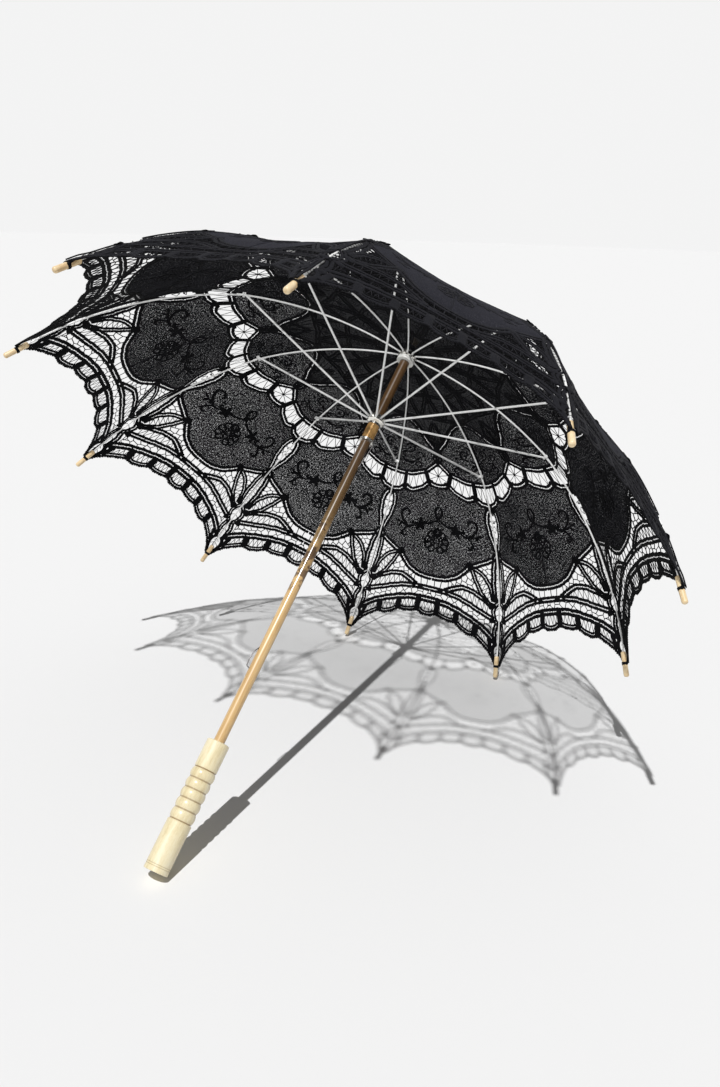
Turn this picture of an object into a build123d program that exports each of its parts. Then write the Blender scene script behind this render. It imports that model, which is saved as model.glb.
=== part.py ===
"""Lace parasol: a straight wooden stick with a turned grip, a slotted top notch and a sliding runner,
ten sprung wire ribs with wooden tips, ten wire stretchers and ten canopy gores.

Frame: origin at the centre of the grip's bottom end, +Z along the stick towards the ferrule.
Rib n stands at azimuth 36 * (n - 1) degrees from +X. All lengths are in millimetres.
"""
from build123d import *
from math import cos, sin, radians, sqrt
import os

os.makedirs("parts", exist_ok=True)

# ------------------------------------------------------------------ shared dimensions
RIBS = 10
PITCH = 360 / RIBS
SPREAD_R = 386.0          # tip radius, open
APEX_Z = 630.1            # datum of the rib curve on the stick
CURVE_LIFT = 4.2          # rib curve height over the datum at the axis
CURVE_DROP = 238.06       # drop scale of the rib curve

SHAFT_R = 5.8
SHAFT_BOTTOM_Z = 75.0
SHAFT_TOP_Z = 648.0
SOCKET_R = SHAFT_R + 0.02  # bore of the pieces fixed to the stick

RING_WIRE_R = 0.6         # wire of the two rings
CHANNEL_R = RING_WIRE_R + 0.03
NOTCH_RING_R = 9.2        # ring the ribs hang on
NOTCH_RING_Z = 634.6
RUNNER_RING_R = 8.8       # ring the stretchers hang on
RUNNER_RING_Z = 538.3

TOP_SPRING_AZ = 8.0
LOW_SPRING_AZ = 228.0


# ------------------------------------------------------------------ helpers
def curve_z(radius):
    """Height of the open ribs' centre line."""
    share = radius / SPREAD_R
    return APEX_Z + CURVE_LIFT - CURVE_DROP * (-0.116 * share + 0.563 * share**2 + 0.553 * share**4)


def slope(radius):
    """Derivative of curve_z."""
    share = radius / SPREAD_R
    return -CURVE_DROP / SPREAD_R * (-0.116 + 1.126 * share + 2.212 * share**3)


def on_curve(radius):
    return (radius, curve_z(radius))


def radial_plane(azimuth):
    """Upright plane through the axis: x outwards, y up, normal clockwise seen from above."""
    angle = radians(azimuth)
    return Plane(
        origin=(0, 0, 0), x_dir=(cos(angle), sin(angle), 0), z_dir=(sin(angle), -cos(angle), 0)
    )


def at_azimuth(radius, side, z, azimuth):
    """Point at a radius along an azimuth, moved anticlockwise by side."""
    angle = radians(azimuth)
    return Vector(
        radius * cos(angle) - side * sin(angle), radius * sin(angle) + side * cos(angle), z
    )


def start_plane(line):
    """Plane square to the start of a sweep path."""
    return Plane(origin=line @ 0, z_dir=line % 0)


def save(part, name):
    part.label = name
    export_step(part, f"parts/{name}.step")


# ------------------------------------------------------------------ stick
SLOT_HALF_W = 0.8
SLOT_PAST_AXIS = 1.9      # depth of the slots beyond the stick's axis
SLOT_OVERCUT = 1.0
# azimuth, bottom z, top z
SPRING_SLOTS = ((LOW_SPRING_AZ, 203.9, 273.8), (TOP_SPRING_AZ, 452.0, 506.8))


def make_shaft():
    with BuildPart() as shaft:
        with BuildSketch(Plane.XY.offset(SHAFT_BOTTOM_Z)):
            Circle(SHAFT_R)
        extrude(amount=SHAFT_TOP_Z - SHAFT_BOTTOM_Z)
        # spring slots, cut from the surface to just past the middle
        outer = SHAFT_R + SLOT_OVERCUT
        for azimuth, low, high in SPRING_SLOTS:
            with BuildSketch(radial_plane(azimuth)):
                with Locations(((outer - SLOT_PAST_AXIS) / 2, (low + high) / 2)):
                    Rectangle(outer + SLOT_PAST_AXIS, high - low)
            extrude(amount=SLOT_HALF_W, both=True, mode=Mode.SUBTRACT)
        chamfer(shaft.edges().filter_by(GeomType.CIRCLE).group_by(Axis.Z)[0], 0.5)
    return shaft.part


# ------------------------------------------------------------------ turned grip
GRIP_TOP_Z = 133.0
GRIP_TOP_R = 11.9
GRIP_TOP_CHAMFER = 0.7
GRIP_LOW_R = 12.5
GRIP_FOOT_ROUND = 0.8
GRIP_FOOT_INSET = 0.234   # mid point of the foot's round, in from both faces
GRIP_LINES_Z = (5.2, 7.1)  # scribed V lines
GRIP_LINE_HALF_W = 0.35
GRIP_LINE_DEPTH = 0.4
GRIP_GROOVES_Z = (50.5, 61.6, 72.1, 82.4, 92.8, 103.5)  # a bead stands between each two
GRIP_GROOVE_R = 11.2
GRIP_FLOOR_HALF = 0.25    # half width of a groove's flat floor
GRIP_BEAD_R = 12.6


def make_handle_grip():
    lowest, highest = GRIP_GROOVES_Z[0], GRIP_GROOVES_Z[-1]
    foot_side = [(GRIP_LOW_R, GRIP_FOOT_ROUND)]
    for z in GRIP_LINES_Z:
        foot_side += [
            (GRIP_LOW_R, z - GRIP_LINE_HALF_W),
            (GRIP_LOW_R - GRIP_LINE_DEPTH, z),
            (GRIP_LOW_R, z + GRIP_LINE_HALF_W),
        ]
    foot_side += [
        (GRIP_LOW_R, lowest - 1.1),
        (GRIP_GROOVE_R, lowest - GRIP_FLOOR_HALF),
        (GRIP_GROOVE_R, lowest + GRIP_FLOOR_HALF),
    ]
    with BuildPart() as handle_grip:
        with BuildSketch(Plane.XZ):
            with BuildLine():
                Line((0, 0), (GRIP_LOW_R - GRIP_FOOT_ROUND, 0))
                ThreePointArc(
                    (GRIP_LOW_R - GRIP_FOOT_ROUND, 0),
                    (GRIP_LOW_R - GRIP_FOOT_INSET, GRIP_FOOT_INSET),
                    (GRIP_LOW_R, GRIP_FOOT_ROUND),
                )
                Polyline(*foot_side)
                for low, high in zip(GRIP_GROOVES_Z[:-1], GRIP_GROOVES_Z[1:]):
                    ThreePointArc(
                        (GRIP_GROOVE_R, low + GRIP_FLOOR_HALF),
                        (GRIP_BEAD_R, (low + high) / 2),
                        (GRIP_GROOVE_R, high - GRIP_FLOOR_HALF),
                    )
                    Line(
                        (GRIP_GROOVE_R, high - GRIP_FLOOR_HALF),
                        (GRIP_GROOVE_R, high + GRIP_FLOOR_HALF),
                    )
                Polyline(
                    (GRIP_GROOVE_R, highest + GRIP_FLOOR_HALF),
                    (GRIP_TOP_R, highest + 0.9),
                    (GRIP_TOP_R, GRIP_TOP_Z - GRIP_TOP_CHAMFER),
                    (GRIP_TOP_R - GRIP_TOP_CHAMFER, GRIP_TOP_Z),
                    (0, GRIP_TOP_Z),
                    (0, 0),
                )
            make_face()
        revolve(axis=Axis.Z)
        # blind socket for the stick
        with BuildSketch(Plane.XY.offset(SHAFT_BOTTOM_Z - 0.5)):
            Circle(SOCKET_R)
        extrude(amount=GRIP_TOP_Z - SHAFT_BOTTOM_Z + 1, mode=Mode.SUBTRACT)
    return handle_grip.part


# ------------------------------------------------------------------ ferrule
FERRULE_BOTTOM_Z = 641.2
FERRULE_TOP_Z = 660.0
FERRULE_SOCKET_Z = 640.5  # start of the socket cut, below the ferrule
# radius, z
FERRULE_SIDE = (
    (7.8, FERRULE_BOTTOM_Z), (8.3, 642.0), (8.3, 644.6), (7.4, 645.8), (6.9, 650.0), (5.2, 656.0),
)
FERRULE_NOSE_MID = (4.2, 658.6)
FERRULE_NOSE_END = (1.6, FERRULE_TOP_Z)


def make_ferrule():
    with BuildPart() as ferrule:
        with BuildSketch(Plane.XZ):
            with BuildLine():
                Polyline((0, FERRULE_BOTTOM_Z), *FERRULE_SIDE)
                ThreePointArc(FERRULE_SIDE[-1], FERRULE_NOSE_MID, FERRULE_NOSE_END)
                Polyline(FERRULE_NOSE_END, (0, FERRULE_TOP_Z), (0, FERRULE_BOTTOM_Z))
            make_face()
        revolve(axis=Axis.Z)
        # blind socket for the top of the stick
        with BuildSketch(Plane.XY.offset(FERRULE_SOCKET_Z)):
            Circle(SOCKET_R)
        extrude(amount=SHAFT_TOP_Z - FERRULE_SOCKET_Z + 0.2, mode=Mode.SUBTRACT)
    return ferrule.part


# ------------------------------------------------------------------ top notch and its collar
NOTCH_OUT_R = 11.0
NOTCH_BOTTOM_Z = 630.2
NOTCH_TOP_Z = 638.4
NOTCH_CHAMFER = 0.7
NOTCH_SLOT_IN_R = 6.9
NOTCH_SLOT_W = 2.4
COLLAR_OUT_R = 10.6
COLLAR_TOP_Z = 629.9
COLLAR_H = 5.4
COLLAR_FILLET = 1.1
SLOT_ABOUT_RING = 2.3     # reach of the notch and runner slots past the ring's centre
OVERCUT = 1.0


def make_top_notch():
    with BuildPart() as top_notch:
        with BuildSketch(Plane.XY.offset(NOTCH_BOTTOM_Z)):
            Circle(NOTCH_OUT_R)
            Circle(SOCKET_R, mode=Mode.SUBTRACT)
        extrude(amount=NOTCH_TOP_Z - NOTCH_BOTTOM_Z)
        rims = top_notch.edges().filter_by(GeomType.CIRCLE).sort_by(SortBy.RADIUS)[-2:]
        chamfer(rims, NOTCH_CHAMFER)
        # one slot per rib, open outwards and downwards
        slot_out = NOTCH_OUT_R + OVERCUT
        with BuildSketch(Plane.XY.offset(NOTCH_BOTTOM_Z - OVERCUT)):
            with PolarLocations((NOTCH_SLOT_IN_R + slot_out) / 2, RIBS):
                Rectangle(slot_out - NOTCH_SLOT_IN_R, NOTCH_SLOT_W)
        slot_height = NOTCH_RING_Z + SLOT_ABOUT_RING - NOTCH_BOTTOM_Z + OVERCUT
        extrude(amount=slot_height, mode=Mode.SUBTRACT)
        # channel for the ring wire
        with BuildSketch(Plane.XZ):
            with Locations((NOTCH_RING_R, NOTCH_RING_Z)):
                Circle(CHANNEL_R)
        revolve(axis=Axis.Z, mode=Mode.SUBTRACT)
    return top_notch.part


def make_notch_collar():
    with BuildPart() as collar:
        with BuildSketch(Plane.XY.offset(COLLAR_TOP_Z - COLLAR_H)):
            Circle(COLLAR_OUT_R)
            Circle(SOCKET_R, mode=Mode.SUBTRACT)
        extrude(amount=COLLAR_H)
        rims = collar.edges().filter_by(GeomType.CIRCLE).sort_by(SortBy.RADIUS)[-2:]
        fillet(rims, COLLAR_FILLET)
    return collar.part


def make_ring(radius, z):
    """Closed wire ring about the stick."""
    with BuildPart() as ring:
        with BuildSketch(Plane.XZ):
            with Locations((radius, z)):
                Circle(RING_WIRE_R)
        revolve(axis=Axis.Z)
    return ring.part


# ------------------------------------------------------------------ runner
RUNNER_BORE_R = 5.88
RUNNER_BOTTOM_Z = 506.6
RUNNER_FOOT_R = 8.2       # lower bead; the upper one is 0.2 smaller
RUNNER_TUBE_R = 7.1
CROWN_R = 10.6
CROWN_BOTTOM_Z = 534.2
CROWN_TOP_Z = 542.0
CROWN_CHAMFER = 0.7
CROWN_SLOT_IN_R = 6.6
CROWN_SLOT_W = 2.7
WINDOW_Z = 520.5
WINDOW_DEPTH = 4.0
WINDOW_H = 17.0
WINDOW_HALF_W = 1.2
# radius, z
RUNNER_PROFILE = (
    (RUNNER_BORE_R, RUNNER_BOTTOM_Z),
    (RUNNER_FOOT_R, RUNNER_BOTTOM_Z),
    (RUNNER_FOOT_R, RUNNER_BOTTOM_Z + 1.0),
    (RUNNER_TUBE_R + 0.15, RUNNER_BOTTOM_Z + 1.5),
    (RUNNER_FOOT_R - 0.2, RUNNER_BOTTOM_Z + 2.0),
    (RUNNER_FOOT_R - 0.2, RUNNER_BOTTOM_Z + 3.0),
    (RUNNER_TUBE_R, RUNNER_BOTTOM_Z + 3.4),
    (RUNNER_TUBE_R, CROWN_BOTTOM_Z - 1.6),
    (CROWN_R - 1.2, CROWN_BOTTOM_Z - 0.6),
    (CROWN_R, CROWN_BOTTOM_Z + 0.6),
    (CROWN_R, CROWN_TOP_Z - CROWN_CHAMFER),
    (CROWN_R - CROWN_CHAMFER, CROWN_TOP_Z),
    (RUNNER_BORE_R, CROWN_TOP_Z),
)


def make_runner():
    with BuildPart() as runner:
        with BuildSketch(Plane.XZ):
            with BuildLine():
                Polyline(*RUNNER_PROFILE, close=True)
            make_face()
        revolve(axis=Axis.Z)
        # one slot per stretcher, open outwards and upwards
        slot_out = CROWN_R + OVERCUT
        with BuildSketch(Plane.XY.offset(RUNNER_RING_Z - SLOT_ABOUT_RING)):
            with PolarLocations((CROWN_SLOT_IN_R + slot_out) / 2, RIBS):
                Rectangle(slot_out - CROWN_SLOT_IN_R, CROWN_SLOT_W)
        slot_height = CROWN_TOP_Z - RUNNER_RING_Z + SLOT_ABOUT_RING + OVERCUT
        extrude(amount=slot_height, mode=Mode.SUBTRACT)
        # channel for the ring wire
        with BuildSketch(Plane.XZ):
            with Locations((RUNNER_RING_R, RUNNER_RING_Z)):
                Circle(CHANNEL_R)
        revolve(axis=Axis.Z, mode=Mode.SUBTRACT)
        # window that the lower catch snaps into when the parasol is closed
        with BuildSketch(radial_plane(LOW_SPRING_AZ)):
            with Locations((RUNNER_TUBE_R, WINDOW_Z)):
                Rectangle(WINDOW_DEPTH, WINDOW_H)
        extrude(amount=WINDOW_HALF_W, both=True, mode=Mode.SUBTRACT)
    return runner.part


# ------------------------------------------------------------------ spring catches of bent wire
SPRING_WIRE_R = 0.5
# radius, z
LOW_SPRING_PATH = (
    (3.6, 272.0), (3.6, 241.0), (8.6, 232.0), (10.0, 222.0), (9.4, 214.6), (3.6, 213.0),
    (3.6, 206.0),
)
TOP_SPRING_PATH = (
    (3.6, 454.0), (3.6, 461.0), (7.6, 483.0), (10.0, 503.0), (3.6, 505.3), (3.6, 506.0),
)


def make_spring(azimuth, points, bend_radius):
    with BuildPart() as spring:
        with BuildLine(radial_plane(azimuth)) as bow:
            FilletPolyline(*points, radius=bend_radius)
        with BuildSketch(start_plane(bow.line)):
            Circle(SPRING_WIRE_R)
        sweep()
    return spring.part


# ------------------------------------------------------------------ ribs
RIB_WIRE_R = 1.0
ROOT_EYE_R = 2.0          # eye on the notch ring
ROOT_EYE_HALF = 0.95      # half its thickness
ROOT_GAP = 1.6            # from the ring to the start of the wire

# lapped joint, where the stretcher is riveted to the rib
JOINT_R = 0.525 * SPREAD_R
JOINT = on_curve(JOINT_R)
JOINT_Z = JOINT[1]
JOINT_EYE_R = 2.1
JOINT_GAP = 3.2           # from the rivet to the end of either wire
TONGUE_LEN = 7.5
TONGUE_THICK = 1.15
TONGUE_OFFSET = 0.05      # from the rib's mid plane to a tongue's face
RIVET_R = 0.65
RIVET_LEN = 1.6
RIVET_HOLE_R = 0.72
RIVET_SIDE = 1.3          # anticlockwise end of the rivet and near face of the stretcher's eye
THROUGH = 2.0             # half depth of the cuts through the eyes

TIP_START_R = 0.965 * SPREAD_R
TIP_START_Z = curve_z(TIP_START_R)
TIP_RUN = SPREAD_R - TIP_START_R
TIP_RISE = curve_z(SPREAD_R) - TIP_START_Z
TIP_LEN = sqrt(TIP_RUN**2 + TIP_RISE**2)
TIP_R = 3.05
TIP_BORE_R = RIB_WIRE_R + 0.65
TIP_BORE_DEPTH = 10.3
TIP_WAIST = TIP_LEN - 15.6
TIP_WAIST_HALF = 1.1
TIP_WAIST_DEPTH = 0.75


def tongue_outline(start, end, half_x, half_z):
    """Four-sided outline from start to end, offset either way by the half widths."""
    return (
        (start[0] - half_x, start[1] - half_z),
        (end[0] - half_x, end[1] - half_z),
        (end[0] + half_x, end[1] + half_z),
        (start[0] + half_x, start[1] + half_z),
    )


def make_rib_inner(azimuth):
    """Eye on the notch ring, arched wire, clockwise half of the lapped joint."""
    plane = radial_plane(azimuth)
    root_r, end_r = NOTCH_RING_R + ROOT_GAP, JOINT_R - JOINT_GAP
    with BuildPart() as rib:
        with BuildLine(plane) as path:
            ThreePointArc(on_curve(root_r), on_curve((root_r + end_r) / 2), on_curve(end_r))
        with BuildSketch(start_plane(path.line)):
            Circle(RIB_WIRE_R)
        sweep()
        with BuildSketch(plane):
            with Locations((NOTCH_RING_R, NOTCH_RING_Z)):
                Circle(ROOT_EYE_R)
        extrude(amount=ROOT_EYE_HALF, both=True)
        # flat tongue and eye
        with BuildSketch(plane.offset(TONGUE_OFFSET)):
            with BuildLine():
                outline = tongue_outline(on_curve(JOINT_R - TONGUE_LEN), JOINT, 0.3, 0.9)
                Polyline(*outline, close=True)
            make_face()
            with Locations(JOINT):
                Circle(JOINT_EYE_R)
        extrude(amount=TONGUE_THICK)
        # rivet shank
        with BuildSketch(plane.offset(-RIVET_SIDE)):
            with Locations(JOINT):
                Circle(RIVET_R)
        extrude(amount=RIVET_LEN)
        # hole for the ring
        with BuildSketch(plane):
            with Locations((NOTCH_RING_R, NOTCH_RING_Z)):
                Circle(RING_WIRE_R + 0.1)
        extrude(amount=THROUGH, both=True, mode=Mode.SUBTRACT)
    return rib.part


def make_rib_outer(azimuth):
    """Anticlockwise half of the lapped joint, and arched wire ending inside the tip."""
    plane = radial_plane(azimuth)
    start_r = JOINT_R + JOINT_GAP
    mid_r = (start_r + TIP_START_R) / 2 + 12
    with BuildPart() as rib:
        with BuildLine(plane) as path:
            ThreePointArc(on_curve(start_r), on_curve(mid_r), on_curve(TIP_START_R + 4))
        with BuildSketch(start_plane(path.line)):
            Circle(RIB_WIRE_R)
        sweep()
        with BuildSketch(plane.offset(-TONGUE_OFFSET)):
            with BuildLine():
                outline = tongue_outline(JOINT, on_curve(JOINT_R + TONGUE_LEN), 0.4, 0.85)
                Polyline(*outline, close=True)
            make_face()
            with Locations(JOINT):
                Circle(JOINT_EYE_R)
        extrude(amount=-TONGUE_THICK)
        # rivet hole
        with BuildSketch(plane):
            with Locations(JOINT):
                Circle(RIVET_HOLE_R)
        extrude(amount=THROUGH, both=True, mode=Mode.SUBTRACT)
    return rib.part


def make_rib_tip(azimuth):
    """Wooden tip, bored for the wire, waisted where the canopy thread is tied."""
    angle = radians(azimuth)
    run, rise = TIP_RUN / TIP_LEN, TIP_RISE / TIP_LEN
    base = Plane(
        origin=at_azimuth(TIP_START_R, 0, TIP_START_Z, azimuth),
        x_dir=(-sin(angle), cos(angle), 0),
        z_dir=(run * cos(angle), run * sin(angle), rise),
    )
    # lengthwise section: y runs along the tip
    section = Plane(origin=base.origin, x_dir=base.x_dir, z_dir=base.y_dir * -1)
    waist_start, waist_end = TIP_WAIST - TIP_WAIST_HALF, TIP_WAIST + TIP_WAIST_HALF
    with BuildPart() as tip:
        with BuildSketch(section):
            with BuildLine():
                Line((0, 0), (1.9, 0))
                ThreePointArc((1.9, 0), (2.8, 0.9), (TIP_R, 2.2))
                Line((TIP_R, 2.2), (TIP_R, waist_start))
                ThreePointArc(
                    (TIP_R, waist_start), (TIP_R - TIP_WAIST_DEPTH, TIP_WAIST), (TIP_R, waist_end)
                )
                Line((TIP_R, waist_end), (TIP_R, TIP_LEN - 2.4))
                ThreePointArc((TIP_R, TIP_LEN - 2.4), (2.4, TIP_LEN - 0.7), (1.0, TIP_LEN))
                Polyline((1.0, TIP_LEN), (0, TIP_LEN), (0, 0))
            make_face()
        revolve(axis=Axis(base.origin, base.z_dir))
        with BuildSketch(base):
            Circle(TIP_BORE_R)
        extrude(amount=TIP_BORE_DEPTH, mode=Mode.SUBTRACT)
    return tip.part


# ------------------------------------------------------------------ stretchers
STRETCHER_WIRE_R = 1.2
STRETCHER_SIDE = 3.4      # it leans over to stand this far beside the rib at its outer eye
STRETCHER_IN_EYE_R = 2.05
STRETCHER_IN_EYE_HALF = 1.1
STRETCHER_OUT_EYE_R = 2.0
STRETCHER_OUT_EYE_THICK = STRETCHER_SIDE - 0.3
STRETCHER_HOLE_R = 0.75   # hole for the rivet
STRETCHER_RISE = (JOINT_Z - RUNNER_RING_Z) / (JOINT_R - RUNNER_RING_R)


def on_stretcher(radius, side, azimuth):
    z = RUNNER_RING_Z + STRETCHER_RISE * (radius - RUNNER_RING_R)
    return at_azimuth(radius, side, z, azimuth)


def make_stretcher(azimuth):
    """Eye on the runner's ring, straight wire leaning anticlockwise, outer eye beside the rib."""
    plane = radial_plane(azimuth)
    start = on_stretcher(RUNNER_RING_R + 1.5, 0, azimuth)
    end = on_stretcher(JOINT_R - 1.4, STRETCHER_SIDE, azimuth)
    with BuildPart() as stretcher:
        with BuildSketch(Plane(origin=start, z_dir=end - start)):
            Circle(STRETCHER_WIRE_R)
        extrude(amount=(end - start).length)
        with BuildSketch(plane):
            with Locations((RUNNER_RING_R, RUNNER_RING_Z)):
                Circle(STRETCHER_IN_EYE_R)
        extrude(amount=STRETCHER_IN_EYE_HALF, both=True)
        with BuildSketch(plane.offset(-RIVET_SIDE)):
            with Locations(JOINT):
                Circle(STRETCHER_OUT_EYE_R)
        extrude(amount=-STRETCHER_OUT_EYE_THICK)
        # holes for the ring and the rivet
        with BuildSketch(plane):
            with Locations((RUNNER_RING_R, RUNNER_RING_Z)):
                Circle(RING_WIRE_R + 0.13)
        extrude(amount=THROUGH, both=True, mode=Mode.SUBTRACT)
        with BuildSketch(plane.offset(-STRETCHER_SIDE)):
            with Locations(JOINT):
                Circle(STRETCHER_HOLE_R)
        extrude(amount=3, both=True, mode=Mode.SUBTRACT)
    return stretcher.part


# ------------------------------------------------------------------ canopy
GORE_UNDER = 3.3          # canopy's inner face stands this far off the rib's centre line
GORE_THICK = 0.6
GORE_INSET = 0.35         # gore's edge from the rib's mid plane
# shares of SPREAD_R, from the stick to the rim
GORE_STATIONS = (
    0.031, 0.10, 0.17, 0.24, 0.31, 0.38, 0.45, 0.525, 0.60, 0.67, 0.74, 0.81, 0.88, 0.955,
)
SCALLOP_SHARE = 0.905     # gore edge at mid gore, as a share of SPREAD_R
SCALLOP_R = 193.0


def gore_chord(share, height, azimuth):
    """Ends of the line across a gore, at a height square to the rib curve."""
    radius = share * SPREAD_R
    gradient = slope(radius)
    length = sqrt(1 + gradient * gradient)
    chord_r = radius - height * gradient / length
    chord_z = curve_z(radius) + height / length
    return (
        at_azimuth(chord_r, GORE_INSET, chord_z, azimuth),
        at_azimuth(chord_r, -GORE_INSET, chord_z, azimuth + PITCH),
    )


def mid_gore(share, mid_azimuth):
    """Point on the chord between neighbouring ribs, halfway across."""
    radius = share * SPREAD_R
    return at_azimuth(radius * cos(radians(PITCH / 2)), 0, curve_z(radius), mid_azimuth)


def make_canopy_gore(azimuth):
    """Gore from this rib to the next: flat between them, faceted along them, scalloped rim."""
    mid_azimuth = azimuth + PITCH / 2
    with BuildPart() as gore:
        for share in GORE_STATIONS:
            under_start, under_end = gore_chord(share, GORE_UNDER, azimuth)
            over_start, over_end = gore_chord(share, GORE_UNDER + GORE_THICK, azimuth)
            middle = (under_start + under_end) * 0.5
            across = (under_end - under_start).normalized()
            up = (over_start + over_end) * 0.5 - middle
            station = Plane(origin=middle, x_dir=across, z_dir=across.cross(up.normalized()))
            half_under = (under_end - under_start).length / 2
            half_over = (over_end - over_start).length / 2
            with BuildSketch(station):
                with BuildLine():
                    Polyline(
                        (-half_under, 0), (half_under, 0),
                        (half_over, up.length), (-half_over, up.length),
                        close=True,
                    )
                make_face()
        loft(ruled=True)
        # scallop, cut square to the outermost facet
        inner_share, rim_share = GORE_STATIONS[-2:]
        inner = mid_gore(inner_share, mid_azimuth)
        rim = mid_gore(rim_share, mid_azimuth)
        outwards = (rim - inner).normalized()
        tangent = at_azimuth(0, 1, 0, mid_azimuth)
        apex = inner + (rim - inner) * ((SCALLOP_SHARE - inner_share) / (rim_share - inner_share))
        centre = apex + outwards * SCALLOP_R
        with BuildSketch(Plane(origin=centre, x_dir=tangent, z_dir=outwards.cross(tangent))):
            Circle(SCALLOP_R)
        extrude(amount=20, both=True, mode=Mode.SUBTRACT)
    return gore.part


# ------------------------------------------------------------------ build and export
save(make_shaft(), "shaft")
save(make_handle_grip(), "handle_grip")
save(make_ferrule(), "ferrule")
save(make_top_notch(), "top_notch")
save(make_notch_collar(), "notch_collar")
save(make_ring(NOTCH_RING_R, NOTCH_RING_Z), "notch_wire")
save(make_runner(), "runner")
save(make_ring(RUNNER_RING_R, RUNNER_RING_Z), "runner_wire")
save(make_spring(LOW_SPRING_AZ, LOW_SPRING_PATH, bend_radius=1.2), "bottom_spring")
save(make_spring(TOP_SPRING_AZ, TOP_SPRING_PATH, bend_radius=0.7), "top_spring")

for n in range(RIBS):
    rib_azimuth = n * PITCH
    tag = f"{n + 1:02d}"
    save(make_rib_inner(rib_azimuth), f"rib_inner_{tag}")
    save(make_rib_outer(rib_azimuth), f"rib_outer_{tag}")
    save(make_rib_tip(rib_azimuth), f"rib_tip_{tag}")
    save(make_stretcher(rib_azimuth), f"stretcher_{tag}")
    save(make_canopy_gore(rib_azimuth), f"canopy_gore_{tag}")
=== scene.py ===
import math
import bpy
import numpy as np
from mathutils import Matrix, Vector, geometry


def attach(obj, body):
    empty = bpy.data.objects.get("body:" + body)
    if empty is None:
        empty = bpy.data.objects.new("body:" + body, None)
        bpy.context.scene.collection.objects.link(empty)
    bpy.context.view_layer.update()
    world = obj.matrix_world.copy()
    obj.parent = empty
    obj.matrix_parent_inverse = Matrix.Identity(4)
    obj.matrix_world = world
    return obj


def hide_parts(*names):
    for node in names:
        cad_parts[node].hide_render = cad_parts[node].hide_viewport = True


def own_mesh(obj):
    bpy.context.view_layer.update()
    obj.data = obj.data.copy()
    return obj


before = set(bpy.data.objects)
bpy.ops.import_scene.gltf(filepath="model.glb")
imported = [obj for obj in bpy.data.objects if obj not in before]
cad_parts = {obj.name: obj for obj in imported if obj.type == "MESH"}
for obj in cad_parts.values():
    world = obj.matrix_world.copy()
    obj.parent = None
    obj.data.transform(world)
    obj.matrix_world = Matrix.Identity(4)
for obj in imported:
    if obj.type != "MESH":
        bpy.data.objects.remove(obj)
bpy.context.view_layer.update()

# ------------------------------------------------------------------ the canopy's surface
# Lace is drawn flat, in pattern millimetres: x is the distance from a rib across the gore,
# y the distance from the notch along the rib, and height is measured off the cloth.
PATTERN_SCALE = 0.965  # real size of one pattern millimetre
MM = 0.001
RIBS = 10
HALF_GORE = math.radians(180 / RIBS)
DATUM_Z = 630.1  # the pattern's zero height, in real millimetres

# The rib's profile: radius REACH * u, height START_Z - DROP * (polynomial in u)
REACH = 400.0
START_Z = 4.358
DROP = 246.69
LINEAR, SQUARE, QUARTIC = -0.116, 0.563, 0.553

profile_u = np.linspace(0.0, 1.06, 4001)
profile_z = START_Z - DROP * (LINEAR * profile_u + SQUARE * profile_u**2 + QUARTIC * profile_u**4)
profile_steps = np.hypot(np.diff(REACH * profile_u), np.diff(profile_z))
profile_arc = np.concatenate([[0.0], np.cumsum(profile_steps)])

# Waves that add up to slack cloth: lengths in metres, amplitudes relative
random_waves = np.random.RandomState(7)
wave_directions = random_waves.normal(size=(9, 3))
wave_directions /= np.linalg.norm(wave_directions, axis=1)[:, None]
WAVE_LENGTHS = (0.21, 0.16, 0.12, 0.095, 0.075, 0.06, 0.048, 0.038, 0.03)
WAVE_AMPLITUDES = (1.0, 0.9, 0.7, 0.55, 0.42, 0.34, 0.24, 0.16, 0.12)
wave_phases = random_waves.uniform(0, 2 * math.pi, 9)
SLACK = 0.55  # millimetres per unit of amplitude


def u_at(y):
    return np.interp(y, profile_arc, profile_u)


def half_width(y):
    """Half the gore's width at y."""
    return REACH * u_at(y) * math.sin(HALF_GORE)


def mid(x, y):
    """The pattern point at distance x from mid gore."""
    return (float(half_width(y)) - x, y)


def slack(points):
    """Smooth small hills and valleys, in millimetres, for points in metres."""
    hills = np.zeros(len(points))
    waves = zip(wave_directions, WAVE_LENGTHS, WAVE_AMPLITUDES, wave_phases)
    for direction, length, amplitude, phase in waves:
        hills += amplitude * np.sin(points @ direction * (2 * math.pi / length) + phase)
    return hills * SLACK


def smooth(start, end, x):
    t = np.clip((x - start) / (end - start), 0, 1)
    return t * t * (3 - 2 * t)


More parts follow.
